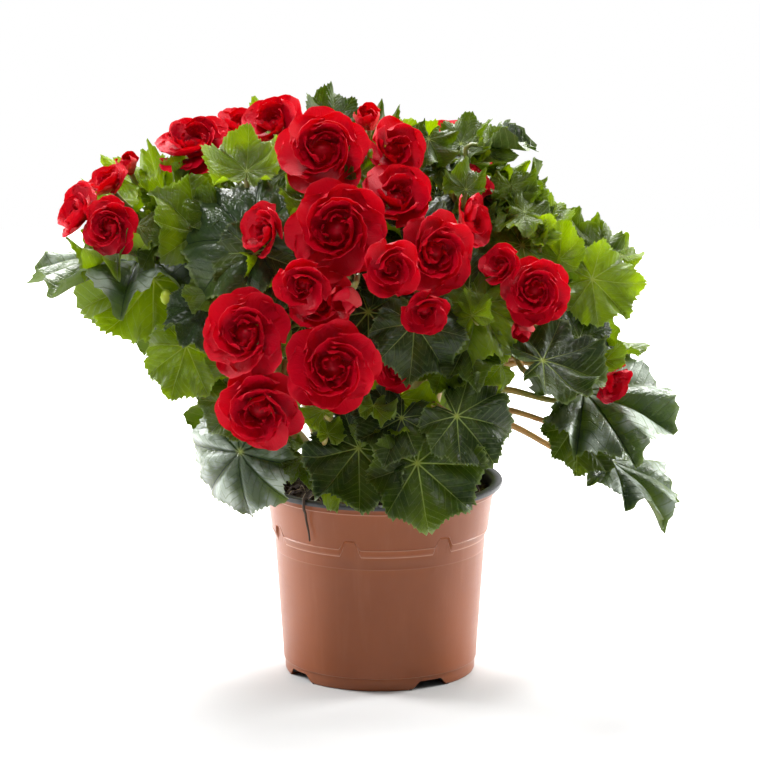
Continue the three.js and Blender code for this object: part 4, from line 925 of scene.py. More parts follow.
def grow_bloom(stems, row, index):
    """One bloom's piece, and its stalk for the stem that bears it."""
    stem_name, middle, azimuth, elevation, diameter, form = row
    node = f'bloom_{index + 1:02d}'
    random = random_stream(BLOOM_TINT_SEED + index)
    bloom = {
        'middle': vec(middle), 'diameter': diameter, 'form': form, 'seed': BLOOM_SEED + 40 * index,
        'spin': (index * BLOOM_TURN) % 72, 'core': CORE_SHARE[form] * diameter,
        'frame': blade_frame(azimuth, elevation, 0), 'tint': random(),
    }
    face = bloom['frame'][0]
    stem = stems[stem_name]
    end = bloom['middle'] - face * (bloom['core'] + GAP)
    stem.stalks.append({
        'controls': stalk_like_solid(stem, end, face, STALK_BLOOM_END),
        'ends': (1.7, STALK_BLOOM_END), 'seed': BLOOM_STALK_SEED + index,
    })
    corners = corners_of(node)
    shape = Shape('petal', 'tone')
    add_core(shape, bloom)
    whorls = WHORLS[form]
    for n, whorl in enumerate(whorls):
        layer, count, long, broad, lean, cup, level, turn, incurve, ruffle = whorl
        for k in range(count):
            if layer is None:
                share = k + turn + 0.12 * (random() - 0.5)
                heading = math.radians(360 / count * share + bloom['spin'])
                petal = petal_frame(bloom, heading, lean + (random() - 0.5) * 18, level,
                                    math.pi / count * ROOT_SPREAD)
                size = diameter * (0.86 + 0.24 * random())
                petal.update(length=long * size, width=broad * size, cup=cup)
            else:
                fits = [petal_like(bloom, layer, k, way) for way in PETAL_WAYS]
                petal = min(fits, key=lambda p: sum(off_by(corners, e) for e in solid_petal_ends(p)))
                petal['cup'] = cup
                petal['width'] *= WIDENED[layer]
            petal.update(incurve=incurve, ruffle=ruffle * (0.7 + 0.6 * random()),
                         small=long < SMALL_PETAL_LENGTH or diameter < SMALL_BLOOM, tint=bloom['tint'])
            seed = PETAL_SEED + 500 * index + 20 * n + k
            add_petal(shape, petal, seed, n / (len(whorls) - 1))
    make_piece(node + '_petals', shape, bloom_material, node)


# ------------------------------------------------------------------------------------------
# Stems and stalks
# ------------------------------------------------------------------------------------------
TRUNK_STEPS, TRUNK_SIDES = 36, 14
STALK_STEPS, STALK_SIDES = 14, 10
# What a point of a stem, stalk or fibre belongs to.
TRUNK_KIND, STALK_KIND, HAIR_KIND, FIBRE_KIND, POD_KIND = 0, 1, 2, 3, 5
POD_RIBS, POD_RIB = 3, 0.12        # how many ribs a pod has, and their height
POD_FROM = 0.9                    # share of the stem that a pod's stalk leads away from
HAIR_LENGTH = 1.6
HAIR_RADIUS = 0.07
HAIR_SPACING = 1.7


def add_tube(shape, path, radii, sides, kind, tint, flesh):
    rings = tube_grid(path, radii, sides)
    steps = len(path)
    along = np.repeat(np.linspace(0, 1, steps), sides + 1)
    around = np.tile(np.linspace(0, 1, sides + 1), steps)
    marks = np.stack([along, around, np.full(len(along), kind)], 1)
    points = rings.reshape(-1, 3)
    ends = np.array([path[0], path[-1]])
    shape.add(np.concatenate([points, ends]),
              np.concatenate([grid_triangles(steps, sides + 1, flip=True),
                              cap_triangles(steps, sides)]),
              stem=np.concatenate([marks, [[0, 0, kind], [1, 0, kind]]]),
              tone=np.array([tint, flesh, 0]))


def cap_triangles(steps, sides):
    """Closes both ends of a tube to its two end points."""
    j = np.arange(sides)
    count = steps * (sides + 1)
    last = (steps - 1) * (sides + 1)
    return np.concatenate([
        np.stack([np.full(sides, count), j + 1, j], 1),
        np.stack([np.full(sides, count + 1), last + j, last + j + 1], 1),
    ])


def add_hairs(shape, path, radii, random):
    """Soft short hairs standing off a stalk, each a fine three-sided spike."""
    lengths = np.linalg.norm(np.diff(path, axis=0), axis=1)
    for k in range(int(lengths.sum() / HAIR_SPACING)):
        t = random() * (len(path) - 1.001)
        i = int(t)
        point = lerp(path[i], path[i + 1], t - i)
        along = unit(path[i + 1] - path[i])
        out = unit(np.cross(along, vec([random() - 0.5, random() - 0.5, random() - 0.5])))
        side = np.cross(along, out)
        foot = point + out * radii[i] * 0.9
        tip = foot + unit(out + along * (random() - 0.4)) * HAIR_LENGTH * (0.6 + 0.7 * random())
        back = foot - HAIR_RADIUS * 0.5 * along
        base = [foot + HAIR_RADIUS * along, back + HAIR_RADIUS * 0.87 * side,
                back - HAIR_RADIUS * 0.87 * side]
        shape.add([*base, tip], [[0, 1, 3], [1, 2, 3], [2, 0, 3]],
                  stem=vec([t / len(path), 0, HAIR_KIND]), tone=vec([0.5, 0.5, 1]))


def grow_pod(stems, name, middle, radius):
    stem = stems[name]
    end = vec(middle)
    away = unit(end - stem.curve(POD_FROM))
    controls = stalk_controls(stem, end, away, STALK_WAYS[0])
    stem.stalks.append({'controls': controls, 'ends': (1.3, 1.0), 'seed': POD_STALK_SEED})
    stem.pods.append((end, radius))


def add_stem(shape, stem):
    """A stem's trunk, the hairy stalks on it, and its seed pods."""
    t = np.linspace(0, 1, TRUNK_STEPS)
    knots = 0.13 * np.exp(-(((t * 7) % 1 - 0.5) / 0.13) ** 2)
    radii = lerp(STEM_FOOT_RADIUS, STEM_TIP_RADIUS, t) * (0.96 + knots)
    random = random_stream(TRUNK_SEED + len(stem.name) * 7 + int(stem.top))
    add_tube(shape, bezier(stem.controls, t), radii, TRUNK_SIDES, TRUNK_KIND, random(), random())
    for stalk in stem.stalks:
        t = np.linspace(0, 1, STALK_STEPS)
        path = bezier(stalk['controls'], t)
        first, last = stalk['ends']
        swell = 0.16 * np.exp(-(t / 0.1) ** 2) + 0.2 * np.exp(-((1 - t) / 0.06) ** 2)
        radii = lerp(first, last, t) * (1 + swell)
        random = random_stream(stalk['seed'])
        add_tube(shape, path, radii, STALK_SIDES, STALK_KIND, random(), random())
        add_hairs(shape, path, radii, random)
    points, triangles = BALL
    for middle, radius in stem.pods:
        turns = np.arctan2(points[:, 1], points[:, 0])
        ribbed = points * (1 + POD_RIB * np.cos(POD_RIBS * turns))[:, None]
        shape.add(ribbed * radius * vec([0.9, 0.9, 1.15]) + middle, triangles,
                  stem=vec([0, 0, POD_KIND]), tone=vec([0.5, 0.2, 0]))


# ------------------------------------------------------------------------------------------
# Pot
# ------------------------------------------------------------------------------------------
SHELL = 0.55                      # thickness of the wall's outer, coloured layer
BEAD = 0.22                       # how far a raised line stands out
ARCH_TOP, ARCH_FOOT = 2.6, 6.0    # half widths of the small arches in the step
ARCH_COLUMNS = 36
PLAIN_COLUMNS = 20
LINING_COLUMNS = 144
WELD = 2e-5                       # metres between points that become one
SHARP = 40                        # degrees past which an edge of the pot stays sharp


def wall_radius(z):
    return lerp(BODY_FOOT_RADIUS, BODY_TOP_RADIUS, (z - FOOT_LEDGE) / (STEP_BOTTOM - FOOT_LEDGE))


def collar_radius(z):
    return lerp(COLLAR_FOOT_RADIUS, COLLAR_TOP_RADIUS, (z - STEP_TOP) / (STRIP_BOTTOM - STEP_TOP))


def around(radius, degrees):
    """Points at a radius and azimuth, seen from above."""
    a = np.radians(degrees)
    return np.stack([radius * np.sin(a), -radius * np.cos(a)], -1)


def turned_surface(rows, columns):
    """Points of a turned surface, and its lines, which carry a painted highlight; a row's values are
    numbers or one a column.
    """
    points, lines = [], []
    for row in rows:
        radius, z, line = (np.broadcast_to(np.asarray(v, float), columns.shape) for v in row)
        points.append(np.concatenate([around(radius, columns), z[:, None]], 1))
        lines.append(np.stack([line, line, line], 1))
    return np.concatenate(points), np.concatenate(lines)


def pot_columns():
    """Azimuths round the pot, close together where the arches rise, and how far they rise."""
    step = 360 / ARCH_COUNT
    half = math.degrees((ARCH_FOOT_WIDTH / 2 + 1.8) / COLLAR_FOOT_RADIUS)
    within = np.linspace(-half, half, ARCH_COLUMNS)
    between = np.linspace(half, step - half, PLAIN_COLUMNS)[1:-1]
    offsets = np.concatenate([within, between])
    columns = np.concatenate([ARCH_FIRST + step * k + offsets for k in range(ARCH_COUNT)])
    away = (columns - ARCH_FIRST + step / 2) % step - step / 2
    x = np.abs(np.radians(away)) * COLLAR_FOOT_RADIUS
    rise = 1 - np.clip((x - ARCH_TOP) / (ARCH_FOOT - ARCH_TOP), 0, 1)
    rise = lerp(rise, rise * rise * (3 - 2 * rise), 0.6)
    order = np.append(np.arange(len(columns)), 0)
    columns = np.append(columns, columns[0] + 360)
    return columns, rise[order]


def shell_rows(rise):
    """The outer layer's outline from the middle of its underside over the wall and back.

    Each row is radius, height and how much it is a raised line that carries a painted highlight.
    """
    step_foot = STEP_BOTTOM + ARCH_HEIGHT * rise
    step_head = step_foot + lerp(STEP_TOP - STEP_BOTTOM, 1.6, rise)
    foot = wall_radius(step_foot)
    head = collar_radius(step_head)
    rows = [
        (0, 0, 0), (20, 0, 0), (FOOT_RADIUS - CORNER, 0, 0), (FOOT_RADIUS - 0.4, 0.3, 0),
        (FOOT_RADIUS, CORNER, 0), (FOOT_RADIUS + 0.12, 4, 0),
        (FOOT_RADIUS + 0.3, FOOT_LEDGE - 0.5, 0), (BODY_FOOT_RADIUS - 0.3, FOOT_LEDGE - 0.15, 0),
        (BODY_FOOT_RADIUS - 0.05, FOOT_LEDGE + 0.05, 0.5),
        (BODY_FOOT_RADIUS + 0.02, FOOT_LEDGE + 0.4, 0),
    ]
    for share in (0.04, 0.12, 0.24, 0.36, 0.48, 0.6, 0.72, 0.82):
        z = lerp(FOOT_LEDGE, step_foot, share)
        rows.append((wall_radius(z), z, 0))
    for drop, out in ((7.2, 0), (6.85, 0.1), (6.7, 0.1), (6.4, 0), (2.0, 0)):
        rows.append((wall_radius(STEP_BOTTOM - drop) + out, STEP_BOTTOM - drop, 3 * out))
    rows += [
        (foot, step_foot - 0.55, 0), (foot + BEAD, step_foot - 0.22, 1),
        (foot + 1.3 * BEAD, step_foot + 0.05, 1), (foot + BEAD, step_foot + 0.3, 0.3),
    ]
    for share in (0.3, 0.65, 0.92):
        rows.append((lerp(foot + BEAD, head, share), lerp(step_foot + 0.3, step_head, share), 0))
    upper = 1 - rise
    rows += [
        (head + 0.1, step_head + 0.05, 0.2 * upper), (head + BEAD * upper, step_head + 0.2, upper),
        (head + BEAD * upper, step_head + 0.45, upper), (head, step_head + 0.75, 0),
    ]
    for share in (0.08, 0.2, 0.4, 0.6, 0.8, 0.94):
        z = lerp(step_head + 0.75, STRIP_BOTTOM, share)
        rows.append((collar_radius(z), z, 0))
    strip_top = POT_HEIGHT - LIP_THICKNESS
    rows += [
        (COLLAR_TOP_RADIUS, STRIP_BOTTOM - 0.3, 0), (COLLAR_TOP_RADIUS + 0.5, STRIP_BOTTOM - 0.1, 0.3),
        (STRIP_RADIUS - 0.1, STRIP_BOTTOM + 0.05, 1), (STRIP_RADIUS + 0.1, STRIP_BOTTOM + 0.4, 1),
        (STRIP_RADIUS, STRIP_BOTTOM + 0.8, 0), (STRIP_RADIUS, strip_top - 0.1, 0),
        (STRIP_RADIUS - 0.6, strip_top + 0.3, 0), (COLLAR_TOP_RADIUS - SHELL, strip_top + 0.3, 0),
        (COLLAR_TOP_RADIUS - SHELL, STRIP_BOTTOM, 0),
    ]
    inner_head = lerp(step_head, STRIP_BOTTOM, 0.3)
    rows += [
        (collar_radius(inner_head) - SHELL, inner_head, 0),
        (wall_radius(STEP_BOTTOM) - SHELL, STEP_BOTTOM, 0),
        (BODY_FOOT_RADIUS - SHELL, FOOT_LEDGE, 0), (FOOT_RADIUS - SHELL, 1.2, 0), (0, 1, 0),
    ]
    return rows


def lining_rows():
    """The black layer: along the middle of the wall, over the lip and down the inside."""
    lip_foot = POT_HEIGHT - LIP_THICKNESS
    mid = SHELL + 0.04
    rows = [
        (0, 1.1), (FOOT_RADIUS - mid, 1.3), (BODY_FOOT_RADIUS - mid, FOOT_LEDGE),
        (BODY_TOP_RADIUS - mid, STEP_BOTTOM), (COLLAR_TOP_RADIUS - mid, STRIP_BOTTOM),
        (COLLAR_TOP_RADIUS - mid, lip_foot + 0.34),
        (LIP_RADIUS - 0.9, lip_foot + 0.34), (LIP_RADIUS - 0.25, lip_foot + 0.5),
        (LIP_RADIUS, lip_foot + 0.95), (LIP_RADIUS, POT_HEIGHT - 0.8),
        (LIP_RADIUS - 0.2, POT_HEIGHT - 0.25), (LIP_RADIUS - 0.7, POT_HEIGHT),
        (LIP_INNER_RADIUS + 1.6, POT_HEIGHT - 0.15), (LIP_INNER_RADIUS + 0.7, POT_HEIGHT - 0.5),
        (LIP_INNER_RADIUS + 0.1, POT_HEIGHT - 1.3), (LIP_INNER_RADIUS - 0.2, POT_HEIGHT - 2.6),
        (COLLAR_TOP_RADIUS - POT_WALL - 0.4, STRIP_BOTTOM), (BODY_TOP_RADIUS - POT_WALL, STEP_BOTTOM),
        (BODY_FOOT_RADIUS - POT_WALL, FOOT_LEDGE), (FOOT_RADIUS - POT_WALL, 1.8), (0, 1.8),
    ]
    return [(r, z, 0) for r, z in rows]


def prism(shape, half_foot, half_top, bottom, top, near, far, azimuth):
    """A trapezium that runs out from the axis at an azimuth."""
    corners = [(-half_foot, bottom), (half_foot, bottom), (half_top, top), (-half_top, top)]
    out = around(np.array(1.0), azimuth)
    side = vec([-out[1], out[0]])
    points = [[*(out * r + side * x), z] for r in (near, far) for x, z in corners]
    shape.add(points, bar_faces())


def bar_faces():
    """The faces of a four-sided bar, given its near and then its far corners."""
    faces = [[0, 2, 1], [0, 3, 2], [4, 5, 6], [4, 6, 7]]
    for a in range(4):
        b = (a + 1) % 4
        faces += [[a, b + 4, a + 4], [a, b, b + 4]]
    return np.array(faces)


def cut_drains(piece):
    """Cuts the four drainage channels through the foot."""
    cutter = Shape()
    for k in range(DRAIN_COUNT):
        prism(cutter, DRAIN_FOOT_WIDTH / 2 + 1.2, DRAIN_TOP_WIDTH / 2, -1.2, DRAIN_HEIGHT,
              DRAIN_START, FOOT_RADIUS + 9, DRAIN_FIRST + 360 / DRAIN_COUNT * k)
    mesh = bpy.data.meshes.new('cutter')
    mesh.from_pydata((np.concatenate(cutter.points) * MM).tolist(), [],
                     np.concatenate(cutter.triangles).tolist())
    tool = add_object('cutter', mesh)
    boolean = piece.modifiers.new('drains', 'BOOLEAN')
    boolean.operation = 'DIFFERENCE'
    boolean.solver = 'EXACT'
    boolean.object = tool
    bpy.context.view_layer.update()
    graph = bpy.context.evaluated_depsgraph_get()
    cut = bpy.data.meshes.new_from_object(piece.evaluated_get(graph))
    piece.modifiers.clear()
    piece.data = cut
    bpy.data.objects.remove(tool)
    cut.set_sharp_from_angle(angle=math.radians(SHARP))


def make_layer(name, material, rows, columns, *attributes):
    """One turned layer of the pot, closed at its seam and cut at the foot."""
    shape = Shape(*attributes)
    points, lines = turned_surface(rows, columns)
    shape.add(points, grid_triangles(len(rows), len(columns), flip=True), line=lines)
    piece = make_piece(name, shape, material, 'pot')
    weld(piece)
    cut_drains(piece)


def make_pot():
    columns, rise = pot_columns()
    make_layer('pot_outside', pot_material, shell_rows(rise), columns, 'line')
    columns = np.linspace(0, 360, LINING_COLUMNS + 1)
    make_layer('pot_lining', lining_material, lining_rows(), columns)
    covers = Shape()
    for k in range(DRAIN_COUNT):
        add_cover(covers, DRAIN_FIRST + 360 / DRAIN_COUNT * k)
    make_piece('pot_channels', covers, lining_material, 'pot')


def weld(piece):
    """Joins the doubled points of a seam, so that the surface is closed."""
    work = bmesh.new()
    work.from_mesh(piece.data)
    bmesh.ops.remove_doubles(work, verts=work.verts, dist=WELD)
    work.to_mesh(piece.data)
    work.free()


def add_cover(shape, azimuth):
    """The thin roof, sides and inner end of a drainage channel."""
    grow = POT_WALL
    foot, top = DRAIN_FOOT_WIDTH / 2, DRAIN_TOP_WIDTH / 2
    roof = DRAIN_HEIGHT + grow
    far = FOOT_RADIUS - 1.5
    prism(shape, top + 0.5, top + 0.4, DRAIN_HEIGHT, roof, DRAIN_START - grow, far, azimuth)
    prism(shape, foot + grow, top + grow, 0.4, roof, DRAIN_START - grow, DRAIN_START, azimuth)
    out = around(np.array(1.0), azimuth)
    side = vec([-out[1], out[0]])
    for sign in (-1, 1):
        corners = [(foot, 0.2), (foot + grow, 0.2), (top + grow, roof), (top, DRAIN_HEIGHT)]
        points = [[*(out * r + side * x * sign), z] for r in (DRAIN_START - grow, far)
                  for x, z in corners]
        shape.add(points, bar_faces()[:, ::sign])


# ------------------------------------------------------------------------------------------
# Soil
# ------------------------------------------------------------------------------------------
SOIL_RINGS, SOIL_COLUMNS = 44, 150
SOIL_FOOT = 6.4
PLUG_COLUMNS = 48
FIBRE_STEPS = 7
CRUMBS = 420
FIBRES = 170
# The dark root that lies over the lip, then two pale threads: points, radius and paleness.
ROOT_ROUTES = [
    [[[-34, -40, 100], [-37, -46, 101.5], [-39, -50, 104], [-39.6, -52.3, 103.9],
      [-39.5, -51.9, 99], [-38.8, -49.5, 96], [-38.2, -47.6, 91], [-37.2, -48, 86],
      [-36.6, -48.4, 81]], 1.1, 0.0],
    [[[-26, -38, 101], [-27, -46, 104], [-25.5, -52, 102], [-27, -54, 100.4]], 0.3, 1.0],
    [[[-20, -44, 100], [-20.5, -50, 103.5], [-22, -53.5, 101.5], [-21, -55, 99.6]], 0.3, 1.0],
]


def soil_height(x, y):
    """Height of the peat's crumbly top at points."""
    share = np.hypot(x, y) / COLLAR_TOP_RADIUS
    points = np.stack([x, y, np.zeros_like(x)], 1)
    rough = (1.5 * lattice(points / 14, 1) + 0.9 * lattice(points / 6, 2)
             + 0.65 * lattice(points / 2.6, 3) + 0.4 * lattice(points / 1.2, 4))
    return SOIL_TOP + SOIL_CROWN * (1 - share**2) - 1.1 + rough


def make_soil():
    shape = Shape('crumb')
    radii = np.concatenate([[0.3], np.linspace(2, COLLAR_TOP_RADIUS - POT_WALL - 1.0, SOIL_RINGS)])
    turns = np.linspace(0, 2 * math.pi, SOIL_COLUMNS + 1)
    r, a = (v.ravel() for v in np.meshgrid(radii, turns, indexing='ij'))
    x, y = r * np.cos(a), r * np.sin(a)
    points = np.stack([x, y, soil_height(x, y)], 1)
    shape.add(points, grid_triangles(len(radii), SOIL_COLUMNS + 1))
    plug = [(COLLAR_TOP_RADIUS - POT_WALL - 1.0, SOIL_TOP - 1, 0),
            (BODY_TOP_RADIUS - POT_WALL - 0.6, STEP_BOTTOM, 0),
            (BODY_FOOT_RADIUS - POT_WALL - 0.6, SOIL_FOOT, 0), (0, SOIL_FOOT, 0)]
    columns = np.linspace(0, 360, PLUG_COLUMNS + 1)
    shape.add(turned_surface(plug, columns)[0], grid_triangles(len(plug), len(columns)))
    random = random_stream(CRUMB_SEED)
    for _ in range(CRUMBS):
        add_crumb(shape, random)
    make_piece('soil_peat', shape, soil_material, 'soil')


def ball():
    """Points and triangles of a ball of 80 faces, to be knocked out of shape."""
    work = bmesh.new()
    bmesh.ops.create_icosphere(work, subdivisions=2, radius=1)
    points = np.array([v.co[:] for v in work.verts])
    triangles = np.array([[v.index for v in f.verts] for f in work.faces])
    work.free()
    return points, triangles


def peat_place(room, random):
    """A place anywhere on the peat, with room left to the wall."""
    radius = (COLLAR_TOP_RADIUS - POT_WALL - room) * math.sqrt(random())
    turn = 2 * math.pi * random()
    return radius * math.cos(turn), radius * math.sin(turn)


def add_crumb(shape, random):
    """A lump of peat, stretched, turned and half sunk."""
    points, triangles = BALL
    size = 0.5 + 1.9 * random() ** 2.2
    x, y = peat_place(2.5, random)
    seed = int(random() * 1e6)
    stretched = points * vec([1, 0.6 + 0.6 * random(), 0.5 + 0.5 * random()])
    lumpy = stretched * (1 + 0.35 * lattice(points * 1.4 + seed % 97, seed))[:, None]
    axis = unit(vec([random() - 0.5, random() - 0.5, random() + 0.1]))
    spun = rotated(lumpy, axis, 360 * random())
    height = soil_height(np.array([x]), np.array([y]))[0] + size * 0.35
    shape.add(spun * size + vec([x, y, height]), triangles, crumb=vec([random(), 1, 0]))


def make_roots():
    """Fibres lying in the peat, pale root threads, and the dark root that hangs over the lip."""
    shape = Shape('stem', 'tone')
    random = random_stream(ROOT_SEED)
    for _ in range(FIBRES):
        start = peat_place(4, random)
        heading = 2 * math.pi * random()
        length = 4 + 12 * random()
        bend = (random() - 0.5) * 2.4
        steps = np.linspace(0, 1, FIBRE_STEPS)
        angle = heading + bend * steps
        x = start[0] + np.cumsum(np.cos(angle)) * length / FIBRE_STEPS
        y = start[1] + np.cumsum(np.sin(angle)) * length / FIBRE_STEPS
        inside = np.minimum(1, (COLLAR_TOP_RADIUS - POT_WALL - 2) / np.hypot(x, y))
        x, y = x * inside, y * inside
        hump = (0.6 + 2.2 * random() ** 3) * np.sin(math.pi * steps)
        path = np.stack([x, y, soil_height(x, y) + 0.2 + hump], 1)
        thick = 0.14 + 0.2 * random() ** 2
        add_tube(shape, path, np.full(FIBRE_STEPS, thick), 5, FIBRE_KIND, random(), random())
    for route, width, pale in ROOT_ROUTES:
        path = smooth_path(route, 5)
        taper = np.linspace(width, 0.4 * width, len(path))
        add_tube(shape, path, taper, 6, FIBRE_KIND, pale, 0.9)
    make_piece('soil_roots', shape, root_material, 'soil')


def smooth_path(route, steps):
    """A smooth line through points."""
    points = vec(route)
    ends = np.concatenate([[2 * points[0] - points[1]], points, [2 * points[-1] - points[-2]]])
    path = []
    for i in range(1, len(ends) - 2):
        for t in np.arange(steps) / steps:
            a, b, c, d = ends[i - 1:i + 3]
            path.append(0.5 * (2 * b + (c - a) * t + (2 * a - 5 * b + 4 * c - d) * t * t
                               + (3 * b - a - 3 * c + d) * t**3))
    path.append(points[-1])
    return np.array(path)


# ------------------------------------------------------------------------------------------
# Materials
# ------------------------------------------------------------------------------------------
class Nodes:
    """A short way to write the nodes of a material or world."""

    def __init__(self, owner):
        self.owner = owner
        owner.use_nodes = True
        self.tree = owner.node_tree
        self.tree.nodes.clear()

    def make(self, kind, inputs=None, **settings):
        made = self.tree.nodes.new('ShaderNode' + kind)
        for key, value in settings.items():
            setattr(made, key, value)
        for key, value in (inputs or {}).items():
            self.feed(made.inputs[key], value)
        return made

    def feed(self, socket, value):
        if isinstance(value, bpy.types.NodeSocket):
            self.tree.links.new(value, socket)
        elif isinstance(value, tuple) and len(value) == 3 and len(socket.default_value) == 4:
            socket.default_value = (*value, 1)
        else:
            socket.default_value = value

    def math(self, operation, *values, clamp=False):
        made = self.make('Math', operation=operation, use_clamp=clamp)
        for socket, value in zip(made.inputs, values):
            self.feed(socket, value)
        return made.outputs[0]

    def times(self, first, second):
        return self.math('MULTIPLY', first, second)

    def plus(self, first, second, clamp=False):
        return self.math('ADD', first, second, clamp=clamp)

    def scaled(self, value, factor, offset):
        return self.math('MULTIPLY_ADD', value, factor, offset)

    def rest(self, value):
        """What a value leaves of one."""
        return self.math('SUBTRACT', 1.0, value)

    def step(self, value, low, high, to_low=0.0, to_high=1.0):
        """An even curve from one number to another while the value goes from low to high."""
        return self.make('MapRange', {'Value': value, 'From Min': low, 'From Max': high,
                                      'To Min': to_low, 'To Max': to_high},
                         interpolation_type='SMOOTHSTEP').outputs[0]

    def mix(self, share, first, second):
        made = self.make('Mix', data_type='RGBA')
        self.feed(made.inputs[0], share)
        self.feed(made.inputs[6], first)
        self.feed(made.inputs[7], second)
        return made.outputs[2]

    def noise(self, vector, scale, detail=3.0, roughness=0.55):
        return self.make('TexNoise', {'Vector': vector, 'Scale': scale, 'Detail': detail,
                                      'Roughness': roughness}).outputs['Fac']

    def place(self, scale=(1, 1, 1)):
        """Object coordinates, stretched."""
        coordinates = self.make('TexCoord').outputs['Object']
        if scale == (1, 1, 1):
            return coordinates
        return self.make('Mapping', {'Vector': coordinates, 'Scale': scale}).outputs[0]

    def attribute(self, name):
        """The three numbers of a point attribute."""
        made = self.make('Attribute', attribute_name=name)
        parts = self.make('SeparateXYZ', {'Vector': made.outputs['Vector']})
        return tuple(parts.outputs[:3])

    def bump(self, height, distance):
        inputs = {'Height': height, 'Distance': distance, 'Strength': 1.0}
        return self.make('Bump', inputs).outputs[0]

    def finish(self, surface):
        self.make('OutputMaterial', {'Surface': surface})
        return self.owner

    def principled(self, **inputs):
        renamed = {key.replace('_', ' '): value for key, value in inputs.items()}
        return self.make('BsdfPrincipled', renamed).outputs[0]

    def translucent(self, share, surface, colour, normal):
        glow = self.make('BsdfTranslucent', {'Color': colour, 'Normal': normal}).outputs[0]
        made = self.make('MixShader')
        self.feed(made.inputs[0], share)
        self.feed(made.inputs[1], surface)
        self.feed(made.inputs[2], glow)
        return made.outputs[0]


def leaf_nodes():
    n = Nodes(bpy.data.materials.new('begonia_leaf'))
    angle, edge, reach = n.attribute('leaf')
    tint, grey, under = n.attribute('tone')
    here = n.place()
    # Main veins at even angles, their side veins slanting outward from them.
    turns = n.scaled(angle, LEAF_VEINS / 2, 0.5)
    sector = n.math('ABSOLUTE', n.math('SUBTRACT', n.math('FRACT', turns), 0.5))
    away = n.times(n.times(sector, VEIN_STEP), reach)
    width = n.scaled(edge, -0.011, 0.0145)
    main = n.rest(n.step(n.math('DIVIDE', away, width), 0.45, 1.3))
    slant = n.times(reach, n.scaled(sector, -0.75, 1.0))
    wobble = n.scaled(n.noise(here, 60.0, 1.0), 0.5, -0.25)
    phase = n.plus(n.times(slant, 9.0), wobble)
    ladder = n.math('ABSOLUTE', n.math('SUBTRACT', n.math('FRACT', phase), 0.5))
    thin = n.rest(n.step(ladder, 0.02, 0.09))
    side_vein = n.times(thin, n.step(reach, 0.1, 0.3))
    cells = n.make('TexVoronoi', {'Vector': here, 'Scale': 520.0},
                   feature='DISTANCE_TO_EDGE').outputs[0]
    mesh = n.rest(n.step(cells, 0.0, 0.16))
    veins = n.math('MAXIMUM', main, n.times(side_vein, 0.28))
    navel = n.rest(n.step(reach, 0.0, 0.09))
    margin = n.step(edge, 0.955, 1.0)

    clouds = n.noise(here, 34.0, 4.0)
    # A leaf's tint is drawn at random or set by its look: lime and young leaves are painted lighter,
    # as painted light, and dark ones darker, as painted shade; the clouds are tone that differs at
    # random.
    shade = n.plus(n.scaled(tint, 0.9, -0.08),
                   n.scaled(clouds, 1.5, -0.7), clamp=True)
    green = n.mix(shade, (0.012, 0.024, 0.002), (0.135, 0.185, 0.007))
    # Painted sheen: the greyer leaves are mixed toward blue-grey, standing for their gloss mirroring
    # the light above.
    green = n.mix(n.times(n.step(grey, 0.6, 0.85), 0.6), green, (0.034, 0.060, 0.034))
    green = n.mix(n.times(mesh, 0.16), green, (0.11, 0.2, 0.03))
    vein_share = n.times(veins, n.scaled(edge, -0.4, 0.75))
    # Veins are pale on most leaves; on the greyer ones they are dark, a painted shade in their sunk
    # furrows.
    vein_colour = n.mix(n.step(grey, 0.5, 0.8), (0.36, 0.48, 0.12), (0.012, 0.024, 0.008))
    green = n.mix(vein_share, green, vein_colour)
    # A paler margin: partly its own colour, partly a painted highlight on its teeth.
    green = n.mix(n.times(margin, 0.55), green, (0.25, 0.33, 0.10))
    green = n.mix(n.times(navel, 0.8), green, (0.42, 0.50, 0.06))
    # A painted sheen: grey-white laid into the colour of the glossiest leaves, on the ridges between
    # their veins, standing for their gloss in the light from above and behind.
    silver = n.times(n.step(grey, 0.9, 0.98), n.step(sector, 0.04, 0.26))
    silver = n.times(silver, n.step(n.noise(here, 48.0, 4.0), 0.4, 0.62, 0.12, 1.0))
    silver = n.times(silver, n.rest(n.times(side_vein, 0.5)))
    green = n.mix(n.times(silver, 0.85), green, (0.42, 0.49, 0.40))
    back = n.mix(n.times(veins, 0.7), (0.13, 0.18, 0.045), (0.29, 0.32, 0.11))
    colour = n.mix(under, green, back)

    rough_noise = n.noise(here, 900.0, 2.0)
    rough = n.scaled(rough_noise, 0.14, n.scaled(under, 0.3, 0.16))
    rough = n.plus(rough, n.step(grey, 0.3, 0.9, 0.12, 0.0))
    bulge = n.times(n.math('SINE', n.times(phase, 2 * math.pi)), 0.13)
    relief = n.plus(n.times(veins, -0.8), n.times(mesh, -0.14))
    relief = n.plus(relief, bulge)
    relief = n.plus(relief, n.times(n.noise(here, 260.0, 2.0), 0.35))
    normal = n.bump(relief, 0.00055)
    surface = n.principled(Base_Color=colour, Roughness=rough, Normal=normal,
                           Specular_IOR_Level=0.36)
    glow = n.mix(shade, (0.14, 0.25, 0.006), (0.80, 0.97, 0.015))
    vein_glow = n.mix(n.step(grey, 0.5, 0.8), (0.95, 1.0, 0.30), (0.10, 0.18, 0.02))
    glow = n.mix(n.times(veins, 0.75), glow, vein_glow)
    share = n.times(n.scaled(tint, 0.27, 0.23),
                   n.rest(n.times(silver, 0.8)))
    return n.finish(n.translucent(share, surface, glow, normal))


